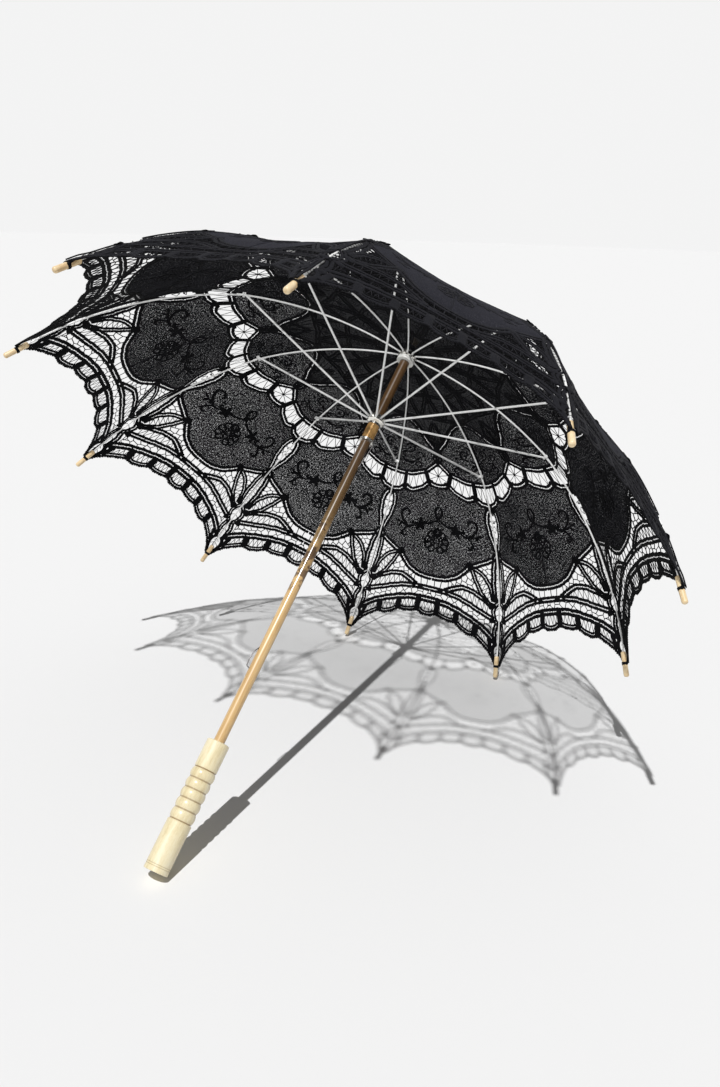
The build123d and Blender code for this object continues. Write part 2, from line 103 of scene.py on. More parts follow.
def place(x, y, height, side, azimuth):
    """Pattern points to metres, on the +azimuth (side 1) or -azimuth (side -1) half of a rib."""
    u = u_at(y)
    radius = REACH * u
    share = x / (2 * np.maximum(radius * math.sin(HALF_GORE), 0.5))  # 0 at this rib, 1 at the next
    turn = side * 2 * HALF_GORE
    next_rib = azimuth + turn
    on_cone = np.stack([
        radius * ((1 - share) * math.cos(azimuth) + share * math.cos(next_rib)),
        radius * ((1 - share) * math.sin(azimuth) + share * math.sin(next_rib)),
        np.interp(u, profile_u, profile_z)], 1) * PATTERN_SCALE * MM
    on_cone[:, 2] += DATUM_Z * MM

    slope = -DROP / REACH * (LINEAR + 2 * SQUARE * u + 4 * QUARTIC * u**3)
    steep = np.sqrt(1 + slope * slope)
    facing = azimuth + turn * share
    outward = np.stack([
        -slope / steep * np.cos(facing), -slope / steep * np.sin(facing), 1 / steep], 1)

    # the cloth stands off the ribs, more so near the rim, and sags between them
    middle = np.clip(4 * share * (1 - share), 0, 1)
    clearance = 1.75 + 0.85 * smooth(20, 60, y) + 1.35 * smooth(462, 479, y)
    sag = 5.5 * smooth(30, 260, y) * (1 - 0.25 * smooth(380, 470, y)) * middle
    hills = slack(on_cone) * (0.25 + 0.75 * middle) * smooth(14, 60, y)
    offset = (height + clearance - sag + hills) * MM * PATTERN_SCALE
    return on_cone + outward * offset[:, None]


# ------------------------------------------------------------------ flat drawing tools
# Material slots of a lace piece
TAPE, SHEER_CLOTH, DENSE_CLOTH, THREAD = range(4)

# Cord sections: across, up, for a cord of unit width and thickness
ROUND = np.array([
    (-0.5, 0.0), (-0.4, 0.36), (-0.15, 0.5), (0.15, 0.5), (0.4, 0.36),
    (0.5, 0.0), (0.4, -0.36), (0.15, -0.5), (-0.15, -0.5), (-0.4, -0.36)])
DIAMOND = np.array([(-0.5, 0.0), (0.0, 0.5), (0.5, 0.0), (0.0, -0.5)])
HEXAGON = np.array([
    (-0.5, 0.0), (-0.25, 0.45), (0.25, 0.45), (0.5, 0.0), (0.25, -0.45), (-0.25, -0.45)])

TAPE_STEP = 1.7
CLOTH_THICKNESS = 0.22


def curve(points, step=TAPE_STEP):
    """A smooth curve through the points, at even spacing."""
    path = np.asarray(points, float)
    if len(path) > 2:
        ends = np.vstack([2 * path[0] - path[1], path, 2 * path[-1] - path[-2]])
        t = np.linspace(0, 1, 14, endpoint=False)[:, None]
        spans = []
        for p0, p1, p2, p3 in zip(ends, ends[1:], ends[2:], ends[3:]):
            spans.append(0.5 * (2 * p1 + (p2 - p0) * t + (2 * p0 - 5 * p1 + 4 * p2 - p3) * t**2
                                + (3 * p1 - p0 - 3 * p2 + p3) * t**3))
        path = np.vstack(spans + [path[-1:]])
    length = np.concatenate([[0], np.cumsum(np.hypot(*np.diff(path, axis=0).T))])
    count = max(2, int(round(length[-1] / step)) + 1)
    even = np.linspace(0, length[-1], count)
    return np.stack([np.interp(even, length, path[:, 0]), np.interp(even, length, path[:, 1])], 1)


def unit(vectors):
    return vectors / np.maximum(np.hypot(vectors[:, 0], vectors[:, 1]), 1e-9)[:, None]


def normals(path):
    along = unit(np.gradient(path, axis=0))
    return np.stack([-along[:, 1], along[:, 0]], 1)


def inside(polygon, points):
    x, y = points[:, 0], points[:, 1]
    within = np.zeros(len(points), bool)
    for (x0, y0), (x1, y1) in zip(polygon, np.roll(polygon, -1, 0)):
        if y0 != y1:
            within ^= ((y0 > y) != (y1 > y)) & (x < (x1 - x0) * (y - y0) / (y1 - y0) + x0)
    return within


class Patch:
    """Half a sector of lace, on one side of a rib, drawn flat."""

    def __init__(self):
        self.verts, self.count = [], 0
        self.quads, self.quad_inks = [], []
        self.tris, self.tri_inks = [], []
        self.ink = TAPE

    def add(self, verts, quads, tris=(), ink=None):
        ink = self.ink if ink is None else ink
        for faces, corners, held, inks in ((quads, 4, self.quads, self.quad_inks),
                                           (tris, 3, self.tris, self.tri_inks)):
            faces = np.asarray(faces, int).reshape(-1, corners)
            held.append(faces + self.count)
            inks.append(np.full(len(faces), ink))
        self.verts.append(np.asarray(verts, float))
        self.count += len(verts)

    def strip(self, path, width, thick, section=ROUND, lift=0.0):
        """A cord or flat band along a path, lifted off the cloth."""
        path = np.asarray(path, float)
        rows, sides = len(path), len(section)
        width = np.broadcast_to(width, (rows,))
        lift = np.broadcast_to(lift, (rows,))
        across = section[None, :, 0:1] * width[:, None, None]
        flat = path[:, None, :] + normals(path)[:, None, :] * across
        height = lift[:, None] + section[None, :, 1] * thick
        verts = np.concatenate([flat, height[..., None]], 2).reshape(-1, 3)
        i, j = np.meshgrid(np.arange(rows - 1), np.arange(sides), indexing="ij")
        after = (j + 1) % sides
        walls = np.stack([i * sides + j, i * sides + after,
                          (i + 1) * sides + after, (i + 1) * sides + j], -1).reshape(-1, 4)
        cap = np.array([(sides - k, sides - 1 - k, k, k - 1) for k in range(1, sides // 2)])
        self.add(verts, np.vstack([walls, cap, (cap + (rows - 1) * sides)[:, ::-1]]))

    def thread(self, start, end, thick):
        start, end = np.asarray(start, float), np.asarray(end, float)
        if np.hypot(*(end - start)) >= 0.3:
            self.strip([start, end], thick * 1.2, thick, DIAMOND)

    def tape(self, points, width=7.2, gap=1.25):
        """Lace tape: two rounded cords with an open ladder between them."""
        path = curve(points)
        side = normals(path)
        s = np.arange(len(path)) * TAPE_STEP
        phase = float(path[0, 0] * 0.7 + path[0, 1])
        waver = 0.32 * np.sin(s * 0.33 + phase) + 0.22 * np.sin(s * 0.71 + 2 * phase)
        waver *= np.sin(np.pi * np.arange(len(path)) / max(1, len(path) - 1))
        path = path + side * waver[:, None]
        gap *= 0.86
        cord = (width - gap) / 2 * 1.42
        for k, way in enumerate((-1, 1)):
            swell = 1 + 0.10 * np.sin(s * 2.3 + k) + 0.08 * np.sin(s * 0.83 + phase + 2 * k)
            self.strip(path + side * way * (gap / 2 + cord / 2), cord * swell, 1.3)
        for k in range(1, len(path) - 1, 2):
            slant = (path[k + 1] - path[k]) * (0.35 if k % 4 == 1 else -0.35)
            reach = side[k] * (gap / 2 + 0.4)
            self.thread(path[k] - reach - slant, path[k] + reach + slant, 0.45)

    def knot(self, centre, radius_x, radius_y, thick=1.9, turn=0.0):
        """A worked knot: a lens with a wavy outline, its rim shared by both faces."""
        around, rings = 14, 4
        verts = [(*centre, thick / 2), (*centre, -thick / 2)]
        for ring in range(1, rings + 1):
            rise = math.pi / 2 * (1 - ring / rings)
            for face in (1, -1) if ring < rings else (1,):
                for j in range(around):
                    th = 2 * math.pi * j / around
                    wavy = 1 + 0.08 * math.sin(3 * th + centre[0])
                    wavy += 0.05 * math.sin(5 * th + centre[1])
                    spread = math.cos(rise) * wavy
                    x, y = radius_x * spread * math.cos(th), radius_y * spread * math.sin(th)
                    verts.append((centre[0] + x * math.cos(turn) - y * math.sin(turn),
                                  centre[1] + x * math.sin(turn) + y * math.cos(turn),
                                  face * thick / 2 * math.sin(rise)))

        def at(ring, face, j):
            face = 0 if ring == rings else face
            return 2 + ((ring - 1) * 2 + face) * around + j % around

        tris, quads = [], []
        for j in range(around):
            tris.append((0, at(1, 0, j), at(1, 0, j + 1)))
            tris.append((1, at(1, 1, j + 1), at(1, 1, j)))
        for r in range(1, rings):
            for j in range(around):
                quads.append((at(r, 0, j), at(r + 1, 0, j), at(r + 1, 0, j + 1), at(r, 0, j + 1)))
                quads.append((at(r, 1, j + 1), at(r + 1, 1, j + 1), at(r + 1, 1, j), at(r, 1, j)))
        self.add(verts, quads, tris)

    def zigzag(self, upper, lower, pitch, thick=0.75):
        """Threads to and fro between two lines."""
        upper, lower = curve(upper, 0.5), curve(lower, 0.5)
        length = np.hypot(*np.diff(upper, axis=0).T).sum()
        count = max(2, int(round(length / pitch)))

        def at(line, turn):
            return line[int(round(turn / count * (len(line) - 1)))]

        for k in range(count):
            foot = at(lower, k + 0.5 + 0.10 * math.sin(k * 2.7 + count))
            self.thread(at(upper, k + 0.04), foot, thick)
            self.thread(foot, at(upper, k + 0.96), thick)

    def net(self, polygon, cell, thick, seed):
        """Irregular hexagon net in a polygon, its ends tucked under the tapes around it."""
        polygon = np.asarray(polygon, float)
        low, high = polygon.min(0) - cell * 2, polygon.max(0) + cell * 2
        side = cell / math.sqrt(3)
        points, ids = [], {}

        def node_at(x, y):
            key = (round(x, 2), round(y, 2))
            if key not in ids:
                ids[key] = len(points)
                points.append((x, y))
            return ids[key]

        edges = set()
        for i in range(int((high[0] - low[0]) / (1.5 * side)) + 2):
            for j in range(int((high[1] - low[1]) / cell) + 2):
                x = low[0] + 1.5 * side * i
                y = low[1] + cell * (j + 0.5 * (i % 2))
                ring = [node_at(x + side * math.cos(k * math.pi / 3),
                                y + side * math.sin(k * math.pi / 3)) for k in range(6)]
                for k in range(6):
                    edges.add(tuple(sorted((ring[k], ring[(k + 1) % 6]))))
        jitter = np.random.RandomState(seed).uniform(-0.19, 0.19, (len(points), 2))
        points = np.array(points) + jitter * cell
        within = inside(polygon, points)
        for a, b in sorted(edges):
            if within[a] and within[b]:
                self.thread(points[a], points[b], thick)
            elif within[a] or within[b]:
                start, end = (points[a], points[b]) if within[a] else (points[b], points[a])
                self.thread(start, start + (end - start) * 0.72, thick)

    def cloth(self, outline, ink, spacing, inset=1.5):
        """A thin sheet that fills an outline, its free edges drawn in by the inset."""
        corners = np.asarray(outline, float)
        edge = []
        for a, b in zip(corners, np.roll(corners, -1, 0)):
            pieces = max(1, int(np.hypot(*(b - a)) / spacing))
            edge += [a + (b - a) * k / pieces for k in range(pieces)]
        edge = np.array(edge)
        along = unit(np.roll(edge, -1, 0) - np.roll(edge, 1, 0))
        x, y = edge[:, 0], edge[:, 1]
        way = np.sign(np.sum(x * np.roll(y, -1) - np.roll(x, -1) * y))
        inward = np.stack([-along[:, 1], along[:, 0]], 1) * way
        # on the rib and at mid gore the sheet meets its mirror image, so it moves only along y
        at_mid = np.abs(x - half_width(y)) < 1.0
        free = (x > 0.05) & ~at_mid
        push = inward * inset * free[:, None]
        turned = ~free & (np.abs(along[:, 0]) > 0.25)
        push[turned] = np.stack(
            [np.zeros(turned.sum()), np.sign(inward[turned, 1]) * inset], 1)
        edge = edge + push
        limit = half_width(edge[:, 1])
        edge[:, 0] = np.where(at_mid, limit, np.clip(edge[:, 0], 0, limit))

        low, high = edge.min(0), edge.max(0)
        grid_x, grid_y = np.meshgrid(np.arange(low[0] + spacing / 2, high[0], spacing),
                                     np.arange(low[1] + spacing / 2, high[1], spacing))
        grid = np.stack([grid_x.ravel(), grid_y.ravel()], 1)
        grid = grid[inside(edge, grid)]
        distance = np.hypot(grid[:, None, 0] - edge[None, :, 0],
                            grid[:, None, 1] - edge[None, :, 1])
        grid = grid[np.min(distance, axis=1) > spacing * 0.45]

        points = [Vector((float(x), float(y))) for x, y in np.vstack([edge, grid])]
        verts, _, faces, *_ = geometry.delaunay_2d_cdt(
            points, [], [list(range(len(edge)))], 1, 1e-4)
        verts = np.array([(v.x, v.y) for v in verts])
        faces = np.array([f for f in faces if len(f) == 3])
        a, b, c = verts[faces[:, 0]], verts[faces[:, 1]], verts[faces[:, 2]]
        area = ((b[:, 0] - a[:, 0]) * (c[:, 1] - a[:, 1])
                - (b[:, 1] - a[:, 1]) * (c[:, 0] - a[:, 0]))
        faces[area < 0] = faces[area < 0][:, ::-1]
        faces = faces[inside(edge, (a + b + c) / 3) & (np.abs(area) > 1e-6)]
        directed = dict.fromkeys((f[k], f[(k + 1) % 3]) for f in faces for k in range(3))
        count = len(verts)
        walls = [(b, a, a + count, b + count) for a, b in directed if (b, a) not in directed]
        top = np.column_stack([verts, np.full(count, CLOTH_THICKNESS / 2)])
        low = np.column_stack([verts, np.full(count, -CLOTH_THICKNESS / 2)])
        self.add(np.vstack([top, low]), walls, np.vstack([faces, faces[:, ::-1] + count]), ink)

    def stroke(self, points, width, thick, ends=0.5):
        """A bar that swells from `ends` of its width; in thread it is worked wider."""
        path = curve(points, 1.2)
        swell = np.sin(np.pi * np.linspace(0, 1, len(path))) ** 0.5
        width *= 1.95 if self.ink == THREAD else 1.0
        self.strip(path, width * (ends + (1 - ends) * swell), thick, HEXAGON)

    def petal(self, base, tip, width, thick=1.0):
        base, tip = np.asarray(base, float), np.asarray(tip, float)
        s = np.linspace(0, 1, 9)
        swell = np.maximum(0.10, np.sin(np.pi * s**0.75) ** 0.8)
        self.strip(base + (tip - base) * s[:, None], width * swell, thick)

    def arc(self, centre, radius, width, thick, start, end, count):
        """A band around a centre, from start to end in degrees."""
        th = np.radians(np.linspace(start, end, count))
        path = np.stack([centre[0] + radius * np.cos(th), centre[1] + radius * np.sin(th)], 1)
        self.strip(path, width, thick, HEXAGON)


# ------------------------------------------------------------------ one side of one sector
def draw_hub():
    """From the notch to the inner edge of the ring of windows."""
    hub = Patch()
    inner_edge = [(0, 231.0), (10, 231.1), (20, 230.5), (30, 228.0), (40, 223.8), (46.5, 221.0)]
    peak_edge = [(47.5, 221.3), mid(14, 217.0), mid(8.5, 211.4), mid(0, 204.6)]
    petal_edge = [
        (0, 135.5), (9, 137.5), (18, 144.5), (28, 156), (38, 168.5), (47, 177.5), mid(2.5, 184)]
    inner_rows = (11.5, 25, 45, 70, 100)
    hub.cloth([(0, y) for y in inner_rows] + petal_edge
              + [mid(0, y) for y in (184, 160, 130) + inner_rows[::-1]],
              DENSE_CLOTH, spacing=4.6, inset=0.0)
    hub.cloth(petal_edge[:-1] + [mid(0, 184), mid(0, 195)] + peak_edge[::-1] + inner_edge[::-1],
              SHEER_CLOTH, spacing=4.6)
    hub.tape(inner_edge)
    hub.tape(peak_edge)

    # star of tapes on the dense cloth: width, gap, path
    hub.ink = THREAD
    for width, gap, path in (
        (6.0, 1.25, [(0, 128.5), (12, 129.5), (24, 128.5), mid(0, 126)]),
        (5.6, 1.0, [(0, 84), (9, 86), (18, 85), mid(0, 82)]),
        (5.0, 1.0, [(0, 46), mid(0, 44)]),
        (4.0, 0.8, [(0.0, 18), (3.0, 30), (5.5, 44)]),
        (4.6, 0.9, [mid(2.6, 46), mid(2.8, 62), mid(2.6, 80)]),
        (5.0, 1.0, [(1.8, 88), (6.0, 100), (13.0, 114), (20, 126)]),
        (5.0, 1.0, [mid(1.8, 86), mid(5.0, 98), mid(10, 112), mid(15.5, 125)]),
    ):
        hub.tape(path, width, gap)
    for upper, lower in (
        ([(2, 50), (5, 66), (9, 80)], [mid(4, 50), mid(6, 66), mid(8, 80)]),
        ([(1, 92), (6, 108), (12, 122)], [(0, 92), (0, 108), (0, 122)]),
        ([(8, 96), (14, 108), (22, 123)], [mid(5, 94), mid(9, 108), mid(14, 122)]),
        ([mid(0, 92), mid(0, 108), mid(0, 122)], [mid(3, 92), mid(7, 108), mid(12, 122)]),
    ):
        hub.zigzag(upper, lower, pitch=6)
    for centre in ((5.5, 45), (10, 128.5), (22, 128)):
        hub.knot(centre, 3.8, 3.2, 1.8)
    for centre in (mid(0, 84), (0, 86)):
        hub.knot(centre, 4.2, 3.8)

    # web of threads that fans out below the petals' meeting point
    hub.tape(petal_edge, 6.4)
    hub.tape([mid(3.6, 186), mid(3.8, 195), mid(3.0, 203.0)], 5.0, 1.3)
    hub.knot(mid(0, 184), 5.6, 6.4, 2.2)
    hub.knot(mid(0, 203), 4.4, 4.4, 2.0)
    for k, foot in enumerate(curve([(14, 134), (26, 134), (36, 133), mid(0, 132)], 6.0)):
        hub.thread(foot, mid(0.6 + k * 0.1, 178), 0.85)
    web_x, web_y = zip(*petal_edge[1:6])
    for y in (144, 153, 162, 170):
        hub.thread((np.interp(y, web_y, web_x), y), mid(0, y + 3), 0.8)
    for y0, y1 in ((146, 156), (157, 165), (166, 173)):
        x0, x1 = np.interp((y0, y1), web_y, web_x)
        hub.thread((x0 + 3, y0), (x1 + 9, y1), 0.75)
    hub.tape([mid(1.0, 136), mid(5.0, 146), mid(9.0, 156), mid(10, 164)], 3.6, 0.8)

    # rib channel and embroidery on the inner petals
    hub.strip(curve([(0, 20), (0, 80), (0, 135), (0, 229)]), 3.0, 0.8, lift=0.5)
    hub.arc((15, 187), radius=7.0, width=3.0, thick=1.2, start=-150, end=110, count=18)
    hub.petal((3.5, 199), (11.5, 193), 4.0)
    hub.petal((3.5, 200.5), (12, 204.5), 4.0)
    hub.petal((4, 178), (10.5, 170), 3.8)
    hub.stroke([(3.5, 205), (10, 210), (20, 212), (28, 207)], 1.9, 1.1)
    hub.petal((28, 207), (34, 200.5), 4.2)
    hub.arc((33.5, 212.5), radius=4.6, width=2.8, thick=1.2, start=-200, end=90, count=20)
    for centre in ((15, 187), (24, 180), (38, 197), (30, 192)):
        hub.knot(centre, 2.0, 2.0, 1.3)
    return hub


def draw_lobe():
    """The ring of windows, the leaf window on the rib and the big cloth lobe."""
    lobe = Patch()

    # worked bars between the windows
    lobe.stroke([(16.8, 228.5), (17.6, 240), (18.8, 253.5)], 6.4, 1.6, ends=0.85)
    lobe.stroke([(46.0, 219.5), (50.5, 228), (56.2, 240)], 6.8, 1.6, ends=0.85)

    # threads in the windows, and their outer scallops
    web = mid(0, 226)
    for end in (mid(0, 208), mid(8, 213), mid(16.5, 222), mid(13, 233), mid(5, 240)):
        lobe.thread(web, end, 0.85)
    lobe.knot(web, 1.9, 1.9, 1.4)
    lobe.zigzag([(21, 233), (30, 231), (38, 227.5), (45, 223.5)],
                [(22, 251.5), (31, 253.5), (42, 249.5), (51.5, 240.5)], 9.6, 0.68)
    lobe.zigzag([(0, 233), (7, 233.5), (13.6, 234)],
                [(0, 259), (8, 257.5), (14.0, 253)], 9.0, 0.68)
    mid_scallop = [mid(0, 243.0), mid(6.6, 242.8), mid(11.6, 240.8)]
    side_scallop = [(53.5, 243.0), (47, 249.8), (39, 254.8), (31, 257.0), (24, 255.1)]
    rib_scallop = [(16, 256.8), (11, 260.5), (5, 262.4)]
    for path in (mid_scallop + [(56.4, 237)],
                 [(56.4, 237.4)] + side_scallop + [(19.6, 251.0)],
                 [(18.8, 252.6)] + rib_scallop + [(0, 262.8)]):
        lobe.tape(path, gap=1.4)
    lobe.knot((56.5, 238), 4.0, 4.4)
    lobe.knot((19.2, 253), 4.2, 4.6)
    lobe.knot((0, 267.5), 5.0, 5.4)

    # leaf window on the rib, with crossed threads
    leaf = [(1.6, 266), (4.6, 269.4), (7.8, 275), (9.4, 283.5), (9.4, 296), (7.4, 308.5),
            (4.4, 319), (2.4, 327.5)]
    lobe.tape(leaf, 6.2, 1.2)
    for y0, y1, x_up, x_down in (
            (283, 286, 6.4, 6.4), (291, 301, 6.2, 5.4), (308, 314, 4.4, 3.0)):
        lobe.thread((0, y0), (x_up, y1), 0.75)
        lobe.thread((0, y1), (x_down, y0), 0.7)
    lobe.knot((0, 286), 1.6, 1.3, 1.2)
    for y_values in ((262, 268, 276), (318, 330, 342)):
        lobe.strip(curve([(0, y) for y in y_values]), 2.6, 0.9, lift=0.5)
    lobe.knot((0, 330.5), 4.2, 6.0)

    # big cloth lobe
    corner = [(2.6, 331), (4.4, 337), (10, 342), (20, 347), (30, 352.3), (40, 356.4)]
    bottom = [(44, 357.6), (51, 365.3), (60.5, 373.8), (72.5, 380.8), (88.5, 385.4),
              mid(0, 386.2)]
    outline = [(19.3, 252.3)] + side_scallop[::-1] + [(56.4, 237.6)] + mid_scallop[::-1]
    outline += [mid(0, y) for y in (270, 300, 330, 360)] + bottom[::-1] + corner[::-1]
    outline += [(2.4, 327)] + leaf[-2:0:-1] + [(2.4, 265.5)] + rib_scallop[::-1]
    lobe.cloth(outline, SHEER_CLOTH, spacing=4.4)

    # embroidery on the lobe: curling stems and a five-petalled flower
    lobe.ink = THREAD
    lobe.stroke([mid(0, 297), mid(4.4, 290), mid(5.4, 283.5), mid(2.4, 278.0), mid(0, 277.0)],
                2.0, 1.2)
    lobe.stroke([mid(0, 297), mid(7, 301.5), mid(14, 305), mid(21, 307)], 2.0, 1.2)
    heart = np.array(mid(28.5, 309.5))
    for angle in np.radians((-98, -30, 40, 112, 180)):
        ray = np.array([math.cos(angle), math.sin(angle)])
        lobe.petal(heart + 1.0 * ray, heart + 11.5 * ray, 6.2, 1.3)
    lobe.knot(mid(28.5, 309.5), 2.8, 2.8, 1.7)
    lobe.stroke([mid(35, 311), mid(44, 315.5), mid(54, 314.5), mid(62, 312)], 1.8, 1.2)
    lobe.petal(mid(61, 312), mid(69.5, 309.5), 4.2)
    lobe.petal(mid(59, 313), mid(65, 319.5), 4.0)
    lobe.stroke([mid(49, 314.5), mid(56, 309), mid(60, 301), mid(58.5, 293), mid(52, 289.5),
                 mid(46.5, 293.5), mid(47.5, 299)], 2.0, 1.2)
    lobe.stroke([mid(47, 315), mid(53.5, 321), mid(57, 327.5), mid(53.5, 332.5), mid(49, 329)],
                1.9, 1.2)
    lobe.petal(mid(41, 312.5), mid(40, 304.5), 3.8)
    lobe.petal(mid(56, 327), mid(62, 332), 3.4)

    # round flower at mid gore
    heart = np.array(mid(0, 329.5))
    for k in range(5):
        angle = math.radians(-72 + 36 * k)
        ray = np.array([-math.cos(angle), math.sin(angle)])
        lobe.arc(heart + 13.6 * ray, 4.9, width=2.9, thick=1.3, start=0, end=360, count=18)
        lobe.petal(heart + 5.2 * ray, heart + 10.2 * ray, 3.0)
    lobe.arc(heart, radius=4.4, width=2.8, thick=1.3, start=90, end=270, count=12)

    lobe.ink = TAPE
    lobe.tape(corner, 6.6, 1.2)
    lobe.tape(bottom, 7.0, 1.3)
    lobe.knot((42.3, 357), 7.0, 5.6, 2.3, turn=-0.5)
    return lobe


def draw_rim():
    """Fans, leaves, bands and the scalloped outer edge."""
    rim = Patch()
    for y_values in ((340, 372, 404), (427, 458, 489)):
        rim.strip(curve([(0, y) for y in y_values]), 2.6, 0.9, lift=0.5)
    rim.tape([(3.6, 334), (5.4, 342), (7.2, 352), (8.2, 366), (8.4, 380), (7.4, 392), (5.4, 401)],
             6.0, 1.0)
    for y in np.arange(343.0, 398, 5.8):
        x = np.interp(y, [335, 350, 370, 385, 402], [1.5, 4.4, 5.8, 5.6, 2.4])
        rim.thread((1.0, y), (x, y + 3.2), 0.6)

    # fan beside the rib
    rim.tape([(38.5, 358.6), (30.5, 361.4), (23, 366.8), (17.4, 373.8), (13.2, 382), (10.8, 391),
              (9.0, 401)], 5.8, 1.0)
    rim.tape([(40, 361.8), (36.6, 371.4), (32.6, 381.2), (28.0, 390.5), (22.8, 397.8),
              (17, 403.6), (12, 407.5)], 5.8, 1.0)
    rim.zigzag([(32.0, 364), (26, 369), (20.8, 376), (16.2, 385), (13.6, 394)],
               [(34.5, 368), (31.6, 377), (27.5, 386), (22.5, 394), (17, 401)], 6.2)
    rim.net([(9.6, 346), (20, 350.5), (30, 356), (26.5, 360.5), (20.5, 365.5), (14.6, 373),
             (11.4, 378.5), (10.6, 362)], cell=8.2, thick=1.0, seed=3)

    # leaf and upper band
    rim.tape([(13, 407.3), (18, 404), (24, 400.3), (31, 397), (39, 393.4), (48, 391), (57, 391),
              (66, 393.6), (75, 397.8), (84, 402)], 6.6)
    rim.tape([(8, 426), (14, 424.4), (20, 422.2), (30, 418.6), (40, 414.6), (50, 410.8),
              (60, 407.6), (70, 405.4), (80, 404.0), (92, 403.4), mid(0, 403.4)], 6.8)
    rim.zigzag([(17, 409), (25, 404.5), (33, 400.5), (42, 396.5), (50, 395), (58, 395),
                (66, 398), (75, 402)],
               [(14, 420), (22, 418.5), (32, 414.5), (42, 410.5), (52, 406.8), (61, 404.5),
                (70, 403), (77, 402.5)], 7.6, 0.8)
    rim.net([(43.5, 361), (50, 367.5), (58, 375), (66, 380.5), (76, 385.5), (80, 397.5),
             (74, 394.5), (66, 390.5), (57, 388), (48, 388), (38, 390.6), (30, 394.5),
             (34.5, 384), (38.5, 373)], cell=9.6, thick=1.1, seed=5)
    for x, lean in ((5.6, 0.6), (16.5, -1.2), (27.0, 1.0)):
        rim.thread(mid(x, 387.5), mid(x + lean, 401.5), 1.1)
    rim.knot(mid(15.6, 403), 4.6, 3.8, 2.1)

    # lower band, with net between the two
    rim.tape([(7, 456.4), (14, 450.0), (22, 444.0), (32, 438.4), (42, 433.8), (52, 429.8),
              (62, 426.3), (72, 423.5), (82, 421.4), (95, 420.1), mid(0, 419.7)], 8.0, 1.3)
    rim.net([(15, 427.5), (30, 421.5), (50, 413.7), (70, 408.4), (92, 406.4), mid(0, 406.4),
             mid(0, 416.4), (82, 418), (62, 423), (42, 430.4), (22, 440.4), (14, 445.5),
             (13, 436)], cell=9.6, thick=1.0, seed=11)
    rim.thread((12, 428), (13, 449), 0.95)
    rim.thread((12.6, 438), (20, 434), 0.9)

    # teardrop window on the rib
    rim.tape([(1.6, 400.5), (5.4, 404.5), (8.6, 411), (9.2, 418), (7.6, 425), (4.2, 430)],
             5.2, 1.0)
    rim.thread((1.0, 407), (4.5, 412), 0.7)
    rim.thread((1.0, 417), (6.4, 421), 0.7)
    rim.knot((11.8, 407.5), 6.4, 5.0, 2.3, turn=0.5)
    rim.knot((10.8, 428), 5.4, 3.8, 2.1)
    rim.knot((0, 431.5), 5.6, 3.8, 2.1)

    # pointed corner at the rib's end, tied down along both sides of the wooden tip
    rim.tape([(4.4, 432), (6.6, 440), (7.4, 449), (6.6, 457), (5.0, 462)], 5.4, 0.9)
    for y in (436, 444):
        rim.thread((1.0, y), (4.2, y + 4), 0.7)
    rim.knot((8.4, 456.5), 4.8, 3.8, 2.1)
    rim.stroke([(3.6, 459.5), (7.6, 464), (9.2, 470.0), (8.2, 476.5), (6.0, 483.0), (4.2, 489.6)],
               5.4, 1.6, ends=0.85)
    for y, x in ((463.5, 4.0), (470, 6.0)):
        rim.thread((1.0, y), (x, y + 4.5), 0.7)
    tail = curve([(4.6, 482), (4.0, 486.5), (3.4, 490.5), (2.9, 492.2)], 1.2)
    rim.strip(tail, 2.6, 1.6, lift=np.linspace(0.0, -2.6, len(tail)))

    draw_border(rim)

    # small windows inside the border, and the bars between them: start, end, width
    for upper, lower in (
        ([mid(0, 423), mid(11.5, 423.2)], [mid(0, 437.5), mid(11.5, 436)]),
        ([mid(19.5, 424.5), mid(30, 426.2), mid(43, 429)],
         [mid(19.5, 437), mid(31, 438.6), mid(43, 439.4)]),
        ([mid(50.5, 431.5), mid(62, 435.2), mid(75, 440.2)],
         [mid(50.5, 441.5), mid(62, 447.5), mid(75, 451)]),
        ([mid(82.5, 444), (26, 448.5), (17.5, 455)], [(34, 454.0), (26, 459.4), (16, 467.5)]),
    ):
        rim.zigzag(upper, lower, pitch=5.6)
    for start, end, width in (
        (mid(15.6, 418.5), mid(15.8, 441.5), 9.0), (mid(46.8, 427), mid(46.8, 446.0), 9.2),
        (mid(78.6, 438.0), (38.4, 456.4), 9.6), ((14.8, 452), (12.2, 473), 6.2),
    ):
        rim.strip(np.linspace(start, end, 7), width, 1.8)
    return rim


